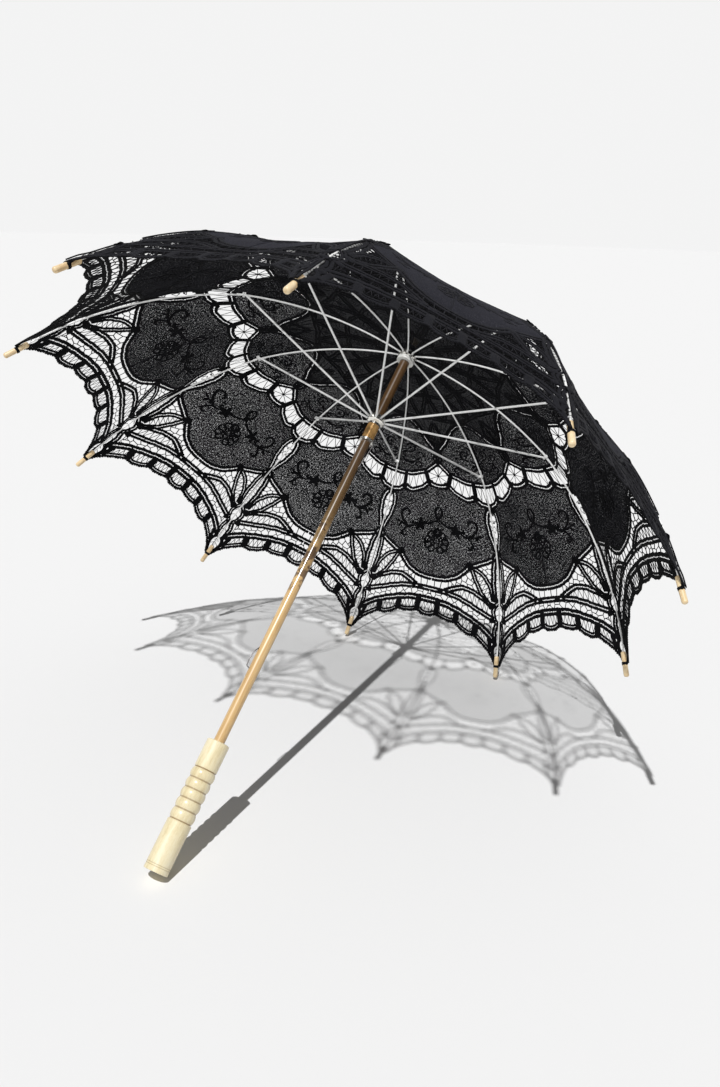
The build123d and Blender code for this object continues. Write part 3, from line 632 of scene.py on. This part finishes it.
def draw_border(rim):
    """The doubled scalloped border, edged with small knots; its last scallop tapers to the tip."""
    scallops = (
        [mid(0, 445.6), mid(7, 444.9), mid(12.5, 442.6), mid(15.6, 440.4)],
        [mid(15.8, 440.6), mid(22, 443.2), mid(30, 445.2), mid(38, 446.4), mid(46.4, 445.6)],
        [mid(46.8, 446.4), mid(54, 451.6), mid(62, 455.4), mid(70, 458), mid(77.6, 457.2)],
        [(39.0, 456.4), (32, 461.6), (24.5, 467.0), (17.5, 473.2), (11.8, 480.0), (8.2, 485.4),
         (5.2, 491.0)],
    )
    for k, line in enumerate(scallops):
        path = curve(line, 1.6)
        rows = len(path)
        side = normals(path)
        inward = np.where(side[:, 1:2] < 0, side, -side)
        if k < 3:
            depth, narrow = np.full(rows, 4.6), np.full(rows, 1.0)
        else:
            stations = [0, rows * 0.55, rows - 1]
            depth = np.interp(np.arange(rows), stations, [4.6, 4.4, 1.2])
            narrow = np.interp(np.arange(rows), stations, [1.0, 1.0, 0.35])
        centre = path + inward * depth[:, None]
        apart = inward * (1.95 * narrow)[:, None]
        swell = 1 + 0.12 * np.sin(np.arange(rows) * 1.9 + k) + 0.08 * np.sin(np.arange(rows) * 4.1)
        rim.strip(centre + apart, 3.1 * swell * narrow, 1.4)
        rim.strip(centre - apart, 3.5 * swell[::-1] * narrow, 1.6)
        for j in range(1, rows - 1, 2):
            reach = inward[j] * 0.9
            rim.thread(centre[j] - reach, centre[j] + reach, 0.5)
            radius = 1.45 + 0.35 * math.sin(j * 5.3 + k)
            rim.knot(path[j] + reach, radius, radius * 0.9, 1.5)


# ------------------------------------------------------------------ from flat to three dimensions
UV_RIB_STEP = 400  # cloth coordinates are offset by this much per rib, in millimetres
UV_GORE_START = 2000  # and the gores are set apart from the ribs
UV_SPLIT_Y = 240.0


def link_object(name, data):
    ob = bpy.data.objects.new(name, data)
    bpy.context.scene.collection.objects.link(ob)
    return ob


def build(name, patch, azimuth, rib, materials):
    """A patch and its mirror image, on both sides of a rib."""
    verts = np.vstack(patch.verts)
    x, y, height = verts.T
    count = len(verts)
    points = np.vstack([place(x, y, height, side, azimuth) for side in (1, -1)])

    # cloth coordinates run straight across each gore; nearer the notch, across each rib
    by_rib = y < UV_SPLIT_Y
    from_mid = half_width(y) - x
    rib_u = rib * UV_RIB_STEP
    last_u = (rib - 1) % RIBS * UV_RIB_STEP
    u_plus = np.where(by_rib, x + rib_u, -from_mid + rib_u + UV_GORE_START)
    u_minus = np.where(by_rib, -x + rib_u, from_mid + last_u + UV_GORE_START)
    uv = np.stack([np.concatenate([u_plus, u_minus]), np.concatenate([y, y])], 1) * MM

    # counter-clockwise as drawn faces outwards on the -azimuth side, so the other is flipped
    quads, tris = (np.vstack([faces[:, ::-1], faces + count])
                   for faces in (np.vstack(patch.quads), np.vstack(patch.tris)))
    slots = np.concatenate(patch.quad_inks * 2 + patch.tri_inks * 2)
    loops = np.concatenate([quads.ravel(), tris.ravel()])
    starts = np.concatenate([np.arange(len(quads)) * 4, quads.size + np.arange(len(tris)) * 3])
    used = np.zeros(len(points), bool)
    used[loops] = True
    loops = (np.cumsum(used) - 1)[loops]
    points, uv = points[used], uv[used]

    mesh = bpy.data.meshes.new(name)
    mesh.vertices.add(len(points))
    mesh.vertices.foreach_set("co", points.astype(np.float32).ravel())
    mesh.loops.add(len(loops))
    mesh.loops.foreach_set("vertex_index", loops.astype(np.int32))
    mesh.polygons.add(len(starts))
    mesh.polygons.foreach_set("loop_start", starts.astype(np.int32))
    mesh.polygons.foreach_set("material_index", slots.astype(np.int32))
    mesh.polygons.foreach_set("use_smooth", np.ones(len(starts), bool))
    layer = mesh.uv_layers.new(name="cloth")
    layer.data.foreach_set("uv", uv[loops].astype(np.float32).ravel())
    for material in materials:
        mesh.materials.append(material)
    mesh.update(calc_edges=True)
    mesh.validate()
    return link_object(name, mesh)


# ------------------------------------------------------------------ shader helpers
def set_inputs(node, values):
    for key, value in values.items():
        node.inputs[key].default_value = value


def new_material(name, values):
    """A material with its Principled BSDF set; returns material, node tree and BSDF."""
    material = bpy.data.materials.new(name)
    material.use_nodes = True
    tree = material.node_tree
    bsdf = tree.nodes["Principled BSDF"]
    set_inputs(bsdf, values)
    return material, tree, bsdf


def add_node(tree, kind, values={}, source=None):
    """A node with its inputs set, and a source linked to its first input."""
    node = tree.nodes.new(kind)
    set_inputs(node, values)
    if source is not None:
        tree.links.new(source, node.inputs[0])
    return node


def ramp(tree, source, stops):
    """A colour ramp through (position, colour) stops."""
    node = add_node(tree, "ShaderNodeValToRGB", source=source)
    elements = node.color_ramp.elements
    while len(elements) > 1:
        elements.remove(elements[-1])
    elements[0].position, elements[0].color = stops[0][0], (*stops[0][1], 1)
    for position, colour in stops[1:]:
        elements.new(position).color = (*colour, 1)
    return node.outputs[0]


def calc(tree, operation, *values):
    node = tree.nodes.new("ShaderNodeMath")
    node.operation = operation
    for k, value in enumerate(values):
        if isinstance(value, (int, float)):
            node.inputs[k].default_value = value
        else:
            tree.links.new(value, node.inputs[k])
    return node.outputs[0]


def weighted(tree, *parts):
    """The sum of (value, weight) parts."""
    total = None
    for value, weight in parts:
        part = calc(tree, "MULTIPLY", value, weight)
        total = part if total is None else calc(tree, "ADD", total, part)
    return total


def map_range(tree, source, start=0.0, end=1.0, low=0.0, high=1.0):
    values = {1: start, 2: end, 3: low, 4: high}
    return add_node(tree, "ShaderNodeMapRange", values, source).outputs[0]


def coords(tree, space="Object", scale=(1, 1, 1), shift=(0, 0, 0)):
    source = tree.nodes.new("ShaderNodeTexCoord").outputs[space]
    values = {"Scale": scale, "Location": shift}
    return add_node(tree, "ShaderNodeMapping", values, source).outputs[0]


def axes(tree, space="Object"):
    """The x, y and z of a texture coordinate."""
    source = tree.nodes.new("ShaderNodeTexCoord").outputs[space]
    return add_node(tree, "ShaderNodeSeparateXYZ", source=source).outputs


def noise(tree, vector, scale, detail=3, rough=0.5):
    values = {"Scale": scale, "Detail": detail, "Roughness": rough}
    node = add_node(tree, "ShaderNodeTexNoise", values)
    tree.links.new(vector, node.inputs["Vector"])
    return node.outputs["Fac"]


def bump(tree, bsdf, height, strength, distance):
    node = add_node(tree, "ShaderNodeBump", {"Strength": strength, "Distance": distance})
    tree.links.new(height, node.inputs["Height"])
    tree.links.new(node.outputs[0], bsdf.inputs["Normal"])


def mix_colour(tree, factor, first, second, how="MIX"):
    node = tree.nodes.new("ShaderNodeMix")
    node.data_type = "RGBA"
    node.blend_type = how
    for key, value in ((0, factor), (6, first), (7, second)):
        if isinstance(value, tuple):
            node.inputs[key].default_value = (*value, 1)
        elif isinstance(value, float):
            node.inputs[key].default_value = value
        else:
            tree.links.new(value, node.inputs[key])
    return node.outputs[2]


def mix_shaders(tree, factor, first, second):
    node = add_node(tree, "ShaderNodeMixShader", source=factor)
    tree.links.new(first, node.inputs[1])
    tree.links.new(second, node.inputs[2])
    return node.outputs[0]


def transparent(tree, share=1.0):
    values = {0: (share, share, share, 1)}
    return add_node(tree, "ShaderNodeBsdfTransparent", values).outputs[0]


def to_output(tree, shader, output="Material Output"):
    tree.links.new(shader, tree.nodes[output].inputs["Surface"])


def finish_with_sun(tree, shader, sun):
    """Shadow rays pass through with this share of the sun, so the floor's shadow stays pale."""
    is_shadow = tree.nodes.new("ShaderNodeLightPath").outputs["Is Shadow Ray"]
    to_output(tree, mix_shaders(tree, is_shadow, shader, transparent(tree, sun)))


def paint_lit_top_and_shaded_under(tree, bsdf, mix, under, over):
    """Painted light: one ramp on faces that look down, painted as the shaded underside, another on
    those that look up, painted as the lighter sunlit top.
    """
    under, over = ramp(tree, mix, under), ramp(tree, mix, over)
    lit_share = map_range(tree, axes(tree, "Normal")[2], start=-0.15, end=0.35)
    tree.links.new(mix_colour(tree, lit_share, under, over), bsdf.inputs["Base Color"])


# ------------------------------------------------------------------ materials
def lace_material(name, sun):
    material, tree, bsdf = new_material(name, {
        "Roughness": 0.82, "Sheen Weight": 0.02, "Sheen Roughness": 0.5,
        "Specular IOR Level": 0.06})
    vector = coords(tree, "UV", scale=(1000, 1000, 1000))
    fine = noise(tree, vector, scale=1.1, detail=4, rough=0.6)
    broad = noise(tree, coords(tree), scale=30, detail=2)
    # painted light: under is the painted shade of the inside, over the painted sunlight on the
    # outside
    paint_lit_top_and_shaded_under(
        tree, bsdf, weighted(tree, (fine, 0.65), (broad, 0.35)),
        under=[(0.30, (0.0020, 0.0020, 0.0026)), (0.55, (0.0042, 0.0042, 0.0052)),
               (0.75, (0.010, 0.010, 0.012))],
        over=[(0.30, (0.0058, 0.0058, 0.0078)), (0.55, (0.0125, 0.0125, 0.0160)),
              (0.75, (0.034, 0.034, 0.042))])
    weave = add_node(tree, "ShaderNodeTexWave", {"Scale": 0.9, "Distortion": 2.0, "Detail": 2.0})
    weave.wave_type = "BANDS"
    weave.bands_direction = "DIAGONAL"
    tree.links.new(vector, weave.inputs["Vector"])
    height = calc(tree, "ADD", calc(tree, "MULTIPLY", weave.outputs["Fac"], 0.5), fine)
    bump(tree, bsdf, height, strength=0.55, distance=0.0006)
    finish_with_sun(tree, bsdf.outputs[0], sun)
    return material


# How clear the cloth is (low to high) as its slubs go from start to end
OPEN_WEAVE = dict(start=0.508, end=0.60, low=0.05, high=0.86)
DENSE_WEAVE = dict(start=0.44, end=0.62, low=0.15, high=0.30)


def batiste_material(name, weave, sun):
    """Plain-woven cotton: irregular slubs along both thread directions let light through."""
    material, tree, bsdf = new_material(name, {
        "Roughness": 0.88, "Sheen Weight": 0.01, "Specular IOR Level": 0.03})

    def slubs(scale, shift, size=1.0, detail=1):
        return noise(tree, coords(tree, "UV", scale, shift), scale=size, detail=detail)

    warp = slubs((1000 / 0.88, 1000 / 2.7, 1), (0, 0, 0))
    weft = slubs((1000 / 2.6, 1000 / 0.88, 1), (31, 7, 0))
    pinholes = slubs((1000, 1000, 1), (3, 5, 0), size=1.02)
    cloud = slubs((1000, 1000, 1), (9, 1, 0), size=0.035, detail=2)
    mix = weighted(tree, (warp, 0.34), (weft, 0.34), (pinholes, 0.32),
                   (calc(tree, "SUBTRACT", cloud, 0.5), 0.06))
    # painted light: under is the painted shade of the inside, over the painted sunlight on the
    # outside
    paint_lit_top_and_shaded_under(
        tree, bsdf, mix,
        under=[(0.44, (0.0034, 0.0034, 0.0045)), (0.54, (0.0080, 0.0080, 0.0102)),
               (0.62, (0.043, 0.043, 0.050))],
        over=[(0.40, (0.012, 0.012, 0.016)), (0.54, (0.024, 0.024, 0.031)),
              (0.64, (0.058, 0.058, 0.070))])
    bump(tree, bsdf, mix, strength=0.5, distance=0.0005)
    # the holes close up where the cloth is seen at a slant
    holes = map_range(tree, mix, **weave)
    slant = add_node(tree, "ShaderNodeLayerWeight", {"Blend": 0.5}).outputs["Facing"]
    facing = calc(tree, "POWER", calc(tree, "SUBTRACT", 1.0, slant), 1.05)
    clear = calc(tree, "MULTIPLY", holes, facing)
    seen = mix_shaders(tree, clear, bsdf.outputs[0], transparent(tree))
    finish_with_sun(tree, seen, sun)
    return material


def wood_material(name, dark, base, light, grain=1.0, coat=0.6, rough=0.32, along=(900, 900, 26)):
    """Varnished wood with its grain along z."""
    material, tree, bsdf = new_material(name, {
        "Roughness": rough, "Coat Weight": coat, "Coat Roughness": 0.12})
    broad = noise(tree, coords(tree, scale=along), scale=0.55 * grain, detail=5, rough=0.6)
    fine_scale = (along[0] * 1.6, along[1] * 1.6, along[2] * 4)
    fine = noise(tree, coords(tree, scale=fine_scale, shift=(5, 2, 1)),
                 scale=1.2 * grain, detail=3, rough=0.7)
    patchy = noise(tree, coords(tree, scale=(60, 60, 14)), scale=1.0, detail=2)
    mix = weighted(tree, (broad, 0.5), (fine, 0.25), (patchy, 0.25))
    colour = ramp(tree, mix, [(0.34, dark), (0.50, base), (0.66, light)])
    tree.links.new(colour, bsdf.inputs["Base Color"])
    bump(tree, bsdf, broad, strength=0.12, distance=0.0003)
    return material


def overlay(material, factor, make_colour):
    """Mixes a colour made from the present base colour over it."""
    tree = material.node_tree
    target = tree.nodes["Principled BSDF"].inputs["Base Color"]
    base = target.links[0].from_socket
    tree.links.new(mix_colour(tree, factor, base, make_colour(base)), target)


def by_height(tree, stops):
    """A factor that follows the height along the stick, from (metres, value) pairs."""
    height = axes(tree)[2]
    node = tree.nodes.new("ShaderNodeFloatCurve")
    points = node.mapping.curves[0].points
    points[0].location = (0.0, stops[0][1])
    points[1].location = (1.0, stops[-1][1])
    for x, y in stops:
        points.new(x, y)
    for point in points:
        point.handle_type = "VECTOR"
    node.mapping.update()
    tree.links.new(height, node.inputs["Value"])
    return node.outputs[0]


def shade_stick(material):
    """Painted shade: darker towards the notch, where the canopy shades the stick, with painted
    dappled shadow of the lace along a stretch lower down.
    """
    tree = material.node_tree
    # painted shade: the stick darkens towards the notch, under the canopy
    painted_shade = by_height(tree, [
        (0.0, 0.0), (0.325, 0.0), (0.37, 0.30), (0.41, 0.80), (0.47, 0.92), (0.66, 1.0)])
    # painted shadow: dapples of the lace's shadow, in a band lower down the stick
    dapple_noise = noise(tree, coords(tree, scale=(90, 90, 105), shift=(2, 4, 0.3)),
                  scale=1.0, detail=2, rough=0.55)
    painted_dapples = map_range(tree, dapple_noise, start=0.47, end=0.56)
    dapple_band = by_height(tree, [
        (0.0, 0.0), (0.302, 0.0), (0.312, 0.85), (0.395, 0.95), (0.42, 0.0), (1.0, 0.0)])
    painted_shade = calc(tree, "MAXIMUM", painted_shade, calc(tree, "MULTIPLY", painted_dapples, dapple_band))
    # the brown that the painted shade and the painted dapples multiply into the wood
    shade_tint = (0.135, 0.100, 0.085)
    overlay(material, painted_shade, lambda base: mix_colour(tree, 1.0, base, shade_tint, "MULTIPLY"))
    return material


def shade_grip(material):
    """Darker brown in the turned grooves and along four fine lines."""
    tree = material.node_tree
    x, y, z = axes(tree)
    squares = calc(tree, "ADD", calc(tree, "MULTIPLY", x, x), calc(tree, "MULTIPLY", y, y))
    radius = calc(tree, "SQRT", squares)
    total = map_range(tree, radius, start=0.01165, end=0.01126, high=0.70)
    total = calc(tree, "MULTIPLY", total, calc(tree, "GREATER_THAN", z, 0.045))
    total = calc(tree, "MULTIPLY", total, calc(tree, "LESS_THAN", z, 0.108))
    # fine lines: height, half width, strength
    for height, half, strength in ((0.0071, 0.00038, 0.34), (0.0052, 0.00038, 0.34),
                                   (0.1035, 0.0006, 0.95), (0.0505, 0.0006, 0.85)):
        distance = calc(tree, "ABSOLUTE", calc(tree, "SUBTRACT", z, height))
        line = map_range(tree, distance, start=half, end=half * 0.5, high=strength)
        total = calc(tree, "MAXIMUM", total, line)
    overlay(material, total, lambda base: (0.25, 0.15, 0.055))
    return material


def streaks(tree):
    return noise(tree, coords(tree, scale=(700, 700, 90)), scale=1.0, detail=4, rough=0.7)


def polish(tree, bsdf, scratches, smoothest, roughest):
    rough = map_range(tree, scratches, low=smoothest, high=roughest)
    tree.links.new(rough, bsdf.inputs["Roughness"])
    bump(tree, bsdf, scratches, strength=0.06, distance=0.0002)


def metal_material(name, colour, rough, finish={}):
    material, tree, bsdf = new_material(name, {"Metallic": 1.0, **finish})
    scratches = streaks(tree)
    dim = tuple(c * 0.80 for c in colour)
    shade = ramp(tree, scratches, [(0.3, dim), (0.7, colour)])
    tree.links.new(shade, bsdf.inputs["Base Color"])
    polish(tree, bsdf, scratches, smoothest=rough - 0.05, roughest=rough + 0.05)
    return material


def runner_material():
    """Nickel, with a gold sleeve between two heights."""
    sleeve_low, sleeve_high = 0.50965, 0.5296
    material, tree, bsdf = new_material("nickel_crown_and_gold_sleeve", {
        "Coat Weight": 1.0, "Coat Roughness": 0.06})
    scratches = streaks(tree)
    nickel = ramp(tree, scratches, [(0.3, (0.70, 0.68, 0.63)), (0.7, (0.88, 0.86, 0.80))])
    gold = ramp(tree, scratches, [(0.3, (0.44, 0.22, 0.066)), (0.7, (0.78, 0.47, 0.17))])
    z = axes(tree)[2]
    sleeve = calc(tree, "MULTIPLY", calc(tree, "GREATER_THAN", z, sleeve_low),
                  calc(tree, "LESS_THAN", z, sleeve_high))
    tree.links.new(mix_colour(tree, sleeve, nickel, gold), bsdf.inputs["Base Color"])
    # the gold is less metallic
    metallic = calc(tree, "SUBTRACT", 1.0, calc(tree, "MULTIPLY", sleeve, 0.62))
    tree.links.new(metallic, bsdf.inputs["Metallic"])
    polish(tree, bsdf, scratches, smoothest=0.14, roughest=0.26)
    return material


def plastic_material():
    material, tree, bsdf = new_material("white_nylon", {
        "Roughness": 0.35, "Subsurface Weight": 0.15, "Subsurface Radius": (0.003, 0.003, 0.003)})
    grain = noise(tree, coords(tree), scale=220, detail=3)
    colour = ramp(tree, grain, [(0.3, (0.72, 0.71, 0.67)), (0.7, (0.86, 0.86, 0.83))])
    tree.links.new(colour, bsdf.inputs["Base Color"])
    bump(tree, bsdf, grain, strength=0.1, distance=0.0003)
    return material


lace = lace_material("black_cotton_tape", sun=0.70)
fine_lace = lace_material("black_cotton_thread", sun=0.975)
sheer = batiste_material("sheer_black_batiste", OPEN_WEAVE, sun=0.80)
dense = batiste_material("dense_black_batiste", DENSE_WEAVE, sun=0.965)
NEAR_SIDE = [lace, sheer, dense, fine_lace]
# ribs towards +Y cast paler shadows
FAR_SIDE = [
    lace_material("upper_cotton_tape", sun=0.91),
    batiste_material("upper_sheer_batiste", OPEN_WEAVE, sun=0.94),
    batiste_material("upper_dense_batiste", DENSE_WEAVE, sun=0.965),
    lace_material("upper_cotton_thread", sun=0.99),
]
stick = shade_stick(wood_material(
    "honey_varnished_wood",
    dark=(0.40, 0.215, 0.068), base=(0.62, 0.40, 0.165), light=(0.78, 0.56, 0.28)))
grip = shade_grip(wood_material(
    "cream_lacquered_wood",
    dark=(0.60, 0.48, 0.25), base=(0.79, 0.685, 0.435), light=(0.88, 0.81, 0.60),
    grain=0.8, coat=0.55, rough=0.36, along=(520, 520, 70)))
tip_wood = wood_material(
    "pale_tip_wood", dark=(0.58, 0.36, 0.16), base=(0.79, 0.59, 0.33), light=(0.90, 0.76, 0.50),
    coat=0.5, rough=0.35)
nickel_plate = metal_material("nickel_plate", colour=(0.86, 0.84, 0.79), rough=0.22)
wire = metal_material("bright_rib_wire", colour=(1.0, 1.0, 0.99), rough=0.30, finish={
    "Metallic": 0.06, "Coat Weight": 1.0, "Coat Roughness": 0.2})
spring = metal_material("blued_spring_wire", colour=(0.16, 0.15, 0.15), rough=0.34)
runner = runner_material()
plastic = plastic_material()

# The first prefix that fits gives the material, so runner_wire comes before runner
MATERIAL_BY_PREFIX = {
    "shaft": stick, "handle_grip": grip, "ferrule": tip_wood, "top_notch": nickel_plate,
    "notch_collar": plastic, "notch_wire": nickel_plate, "runner_wire": nickel_plate,
    "runner": runner, "bottom_spring": spring, "top_spring": spring, "rib_inner": wire,
    "rib_outer": wire, "stretcher": wire, "rib_tip": tip_wood, "canopy_gore": lace,
}
for name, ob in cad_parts.items():
    ob.data.materials.clear()
    ob.data.materials.append(
        next(m for prefix, m in MATERIAL_BY_PREFIX.items() if name.startswith(prefix)))

# ------------------------------------------------------------------ canopy pieces
# name, patch, the rib part it rides on, width kept when the canopy closes
PIECES = (
    ("hub", draw_hub(), "inner", 0.40),
    ("lobe", draw_lobe(), "outer", 0.24),
    ("rim", draw_rim(), "outer", 0.15),
)
for i in range(RIBS):
    azimuth = i * 2 * HALF_GORE
    tag = f"{i + 1:02d}"
    materials = FAR_SIDE if math.sin(azimuth) > 0.3 else NEAR_SIDE
    for piece, patch, part, keep in PIECES:
        ob = build(f"lace_{piece}_{tag}", patch, azimuth, i, materials)
        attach(ob, f"rib_{part}_{tag}")
        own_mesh(ob)
    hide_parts(f"canopy_gore_{tag}")


# ------------------------------------------------------------------ ties on the tips, and rosette
def solid_mesh(name, verts, quads, tris=()):
    mesh = bpy.data.meshes.new(name)
    mesh.from_pydata([tuple(v) for v in verts], [], [*quads, *tris])
    mesh.polygons.foreach_set("use_smooth", np.ones(len(mesh.polygons), bool))
    layer = mesh.uv_layers.new(name="cloth")
    co = np.array([mesh.vertices[loop.vertex_index].co[:] for loop in mesh.loops])
    uv = np.stack([co[:, 0], co[:, 1] + co[:, 2]], 1)
    layer.data.foreach_set("uv", uv.astype(np.float32).ravel())
    mesh.materials.append(lace)
    mesh.update()
    return link_object(name, mesh)


# The tip's axis as (radius, height) points, and the tie wound round it, in metres
TIP_START = np.array((0.37249, 0.42198))
TIP_END = np.array((0.3860, 0.39624))
TIE_FROM_END = 0.0156
TIE_LENGTH = 0.0030
TIE_RADIUS = 0.00302
TIE_WAVER = 0.0002
TIE_THREAD_RADIUS = 0.00056


def build_tie(tag, azimuth):
    """Four turns of thread around a rib's tip."""
    cos_a, sin_a = math.cos(azimuth), math.sin(azimuth)
    along = (TIP_END - TIP_START) / np.linalg.norm(TIP_END - TIP_START)
    waist = TIP_END - along * TIE_FROM_END
    axis = np.array((along[0] * cos_a, along[0] * sin_a, along[1]))
    sideways = np.array((-sin_a, cos_a, 0.0))
    upright = np.cross(axis, sideways)
    middle = np.array((waist[0] * cos_a, waist[0] * sin_a, waist[1]))
    turns, segments, sides = 4, 28, 8
    total = turns * segments
    verts, quads = [], []
    for k in range(total + 1):
        th = 2 * math.pi * k / segments
        out = sideways * math.cos(th) + upright * math.sin(th)
        radius = TIE_RADIUS + TIE_WAVER * math.sin(3.1 * th)
        centre = middle + axis * ((k / total - 0.5) * TIE_LENGTH) + out * radius
        for j in range(sides):
            phi = 2 * math.pi * j / sides
            verts.append(centre + (out * math.cos(phi) + axis * math.sin(phi)) * TIE_THREAD_RADIUS)
    for k in range(total):
        for j in range(sides):
            a, b = k * sides + j, k * sides + (j + 1) % sides
            quads.append((a, b, b + sides, a + sides))
    last = total * sides
    tris = [(0, j + 1, j) for j in range(1, sides - 1)]
    tris += [(last, last + j, last + j + 1) for j in range(1, sides - 1)]
    tie = solid_mesh(f"tie_{tag}", verts, quads, tris)
    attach(tie, f"rib_outer_{tag}")


def build_rosette():
    """A scalloped disc of lace with a hole for the stick, on top of the canopy; millimetres."""
    segments, rows = 120, 14
    hole, outer, top_z, thickness = 6.5, 19.6, 640.9, 0.9
    verts, quads = [], []
    for layer in (0, 1):
        for j in range(rows + 1):
            for k in range(segments):
                th = 2 * math.pi * k / segments
                edge = outer + 1.3 * abs(math.sin(5 * th)) + 0.25 * math.sin(23 * th)
                r = hole + (edge - hole) * j / rows
                z = top_z - 0.10 * (r - hole) - 0.010 * (r - hole) ** 2
                z += 0.10 * math.sin(10 * th) * (r - hole) / 13 + 0.12 * math.sin(r * 2.6)
                z -= layer * thickness
                verts.append((r * math.cos(th) * MM, r * math.sin(th) * MM, z * MM))
    under = (rows + 1) * segments
    for j in range(rows):
        for k in range(segments):
            a, b = j * segments + k, j * segments + (k + 1) % segments
            c, d = b + segments, a + segments
            quads.append((a, d, c, b))
            quads.append((a + under, b + under, c + under, d + under))
    for k in range(segments):
        a, b = k, (k + 1) % segments
        quads.append((a, b, b + under, a + under))
        a, b = rows * segments + a, rows * segments + b
        quads.append((a, a + under, b + under, b))
    rosette = solid_mesh("apex_rosette", verts, quads)
    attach(rosette, "root")


for i in range(RIBS):
    build_tie(f"{i + 1:02d}", i * 2 * HALF_GORE)
build_rosette()


# ------------------------------------------------------------------ camera
def add_camera():
    position = Vector((0.5117, -0.7907, 0.0260))
    forward = Vector((-0.4700, 0.8054, 0.3613)).normalized()
    up = Vector((-0.2019, -0.4965, 0.8442))
    up = (up - forward * up.dot(forward)).normalized()
    right = forward.cross(up)
    data = bpy.data.cameras.new("camera")
    camera = link_object("camera", data)
    rows = [(right[k], up[k], -forward[k], position[k]) for k in range(3)]
    camera.matrix_world = Matrix((*rows, (0, 0, 0, 1)))
    data.sensor_fit = "AUTO"
    data.sensor_width = 36.0
    data.lens = 30.35
    data.clip_start = 0.02
    data.clip_end = 60
    bpy.context.scene.camera = camera


# ------------------------------------------------------------------ floor, sky and light
def turn_to(direction):
    """The rotation that points +Z along a direction."""
    return Vector((0, 0, 1)).rotation_difference(direction)


def add_floor():
    """A pale disc, clear from behind, just under the grip."""
    normal = Vector((0.0, -0.7414, 0.6711)).normalized()
    foot = Vector((0.0, 0.0125, 0.0)) - normal * 0.0005
    bpy.ops.mesh.primitive_circle_add(vertices=96, radius=14, fill_type="NGON", location=foot)
    floor = bpy.context.object
    floor.name = "floor"
    floor.rotation_mode = "QUATERNION"
    floor.rotation_quaternion = turn_to(normal)
    material, tree, bsdf = new_material("pale_floor", {
        "Base Color": (0.80, 0.80, 0.80, 1), "Roughness": 0.9, "Specular IOR Level": 0.05})
    behind = tree.nodes.new("ShaderNodeNewGeometry").outputs["Backfacing"]
    to_output(tree, mix_shaders(tree, behind, bsdf.outputs[0], transparent(tree)))
    floor.data.materials.append(material)


def add_world():
    """A dim white sky that looks brighter to reflections and to the camera."""
    world = bpy.data.worlds.new("studio")
    bpy.context.scene.world = world
    world.use_nodes = True
    tree = world.node_tree
    sky = tree.nodes["Background"]
    set_inputs(sky, {"Color": (1, 1, 1, 1), "Strength": 0.24})
    seen, mirrored = (
        add_node(tree, "ShaderNodeBackground", {"Color": (grey, grey, grey, 1), "Strength": 1.0})
        for grey in (0.90, 0.95))
    path = tree.nodes.new("ShaderNodeLightPath").outputs
    lit = mix_shaders(tree, path["Is Glossy Ray"], sky.outputs[0], mirrored.outputs[0])
    shown = mix_shaders(tree, path["Is Camera Ray"], lit, seen.outputs[0])
    to_output(tree, shown, "World Output")


def add_sun():
    data = bpy.data.lights.new("key", "SUN")
    data.energy = 3.12
    data.angle = math.radians(0.8)
    sun = link_object("key", data)
    sun.rotation_mode = "QUATERNION"
    sun.rotation_quaternion = turn_to(Vector((0.0706, -0.9461, 0.3161)).normalized())


add_camera()
add_floor()
add_world()
bpy.context.scene.view_settings.view_transform = "Standard"
add_sun()
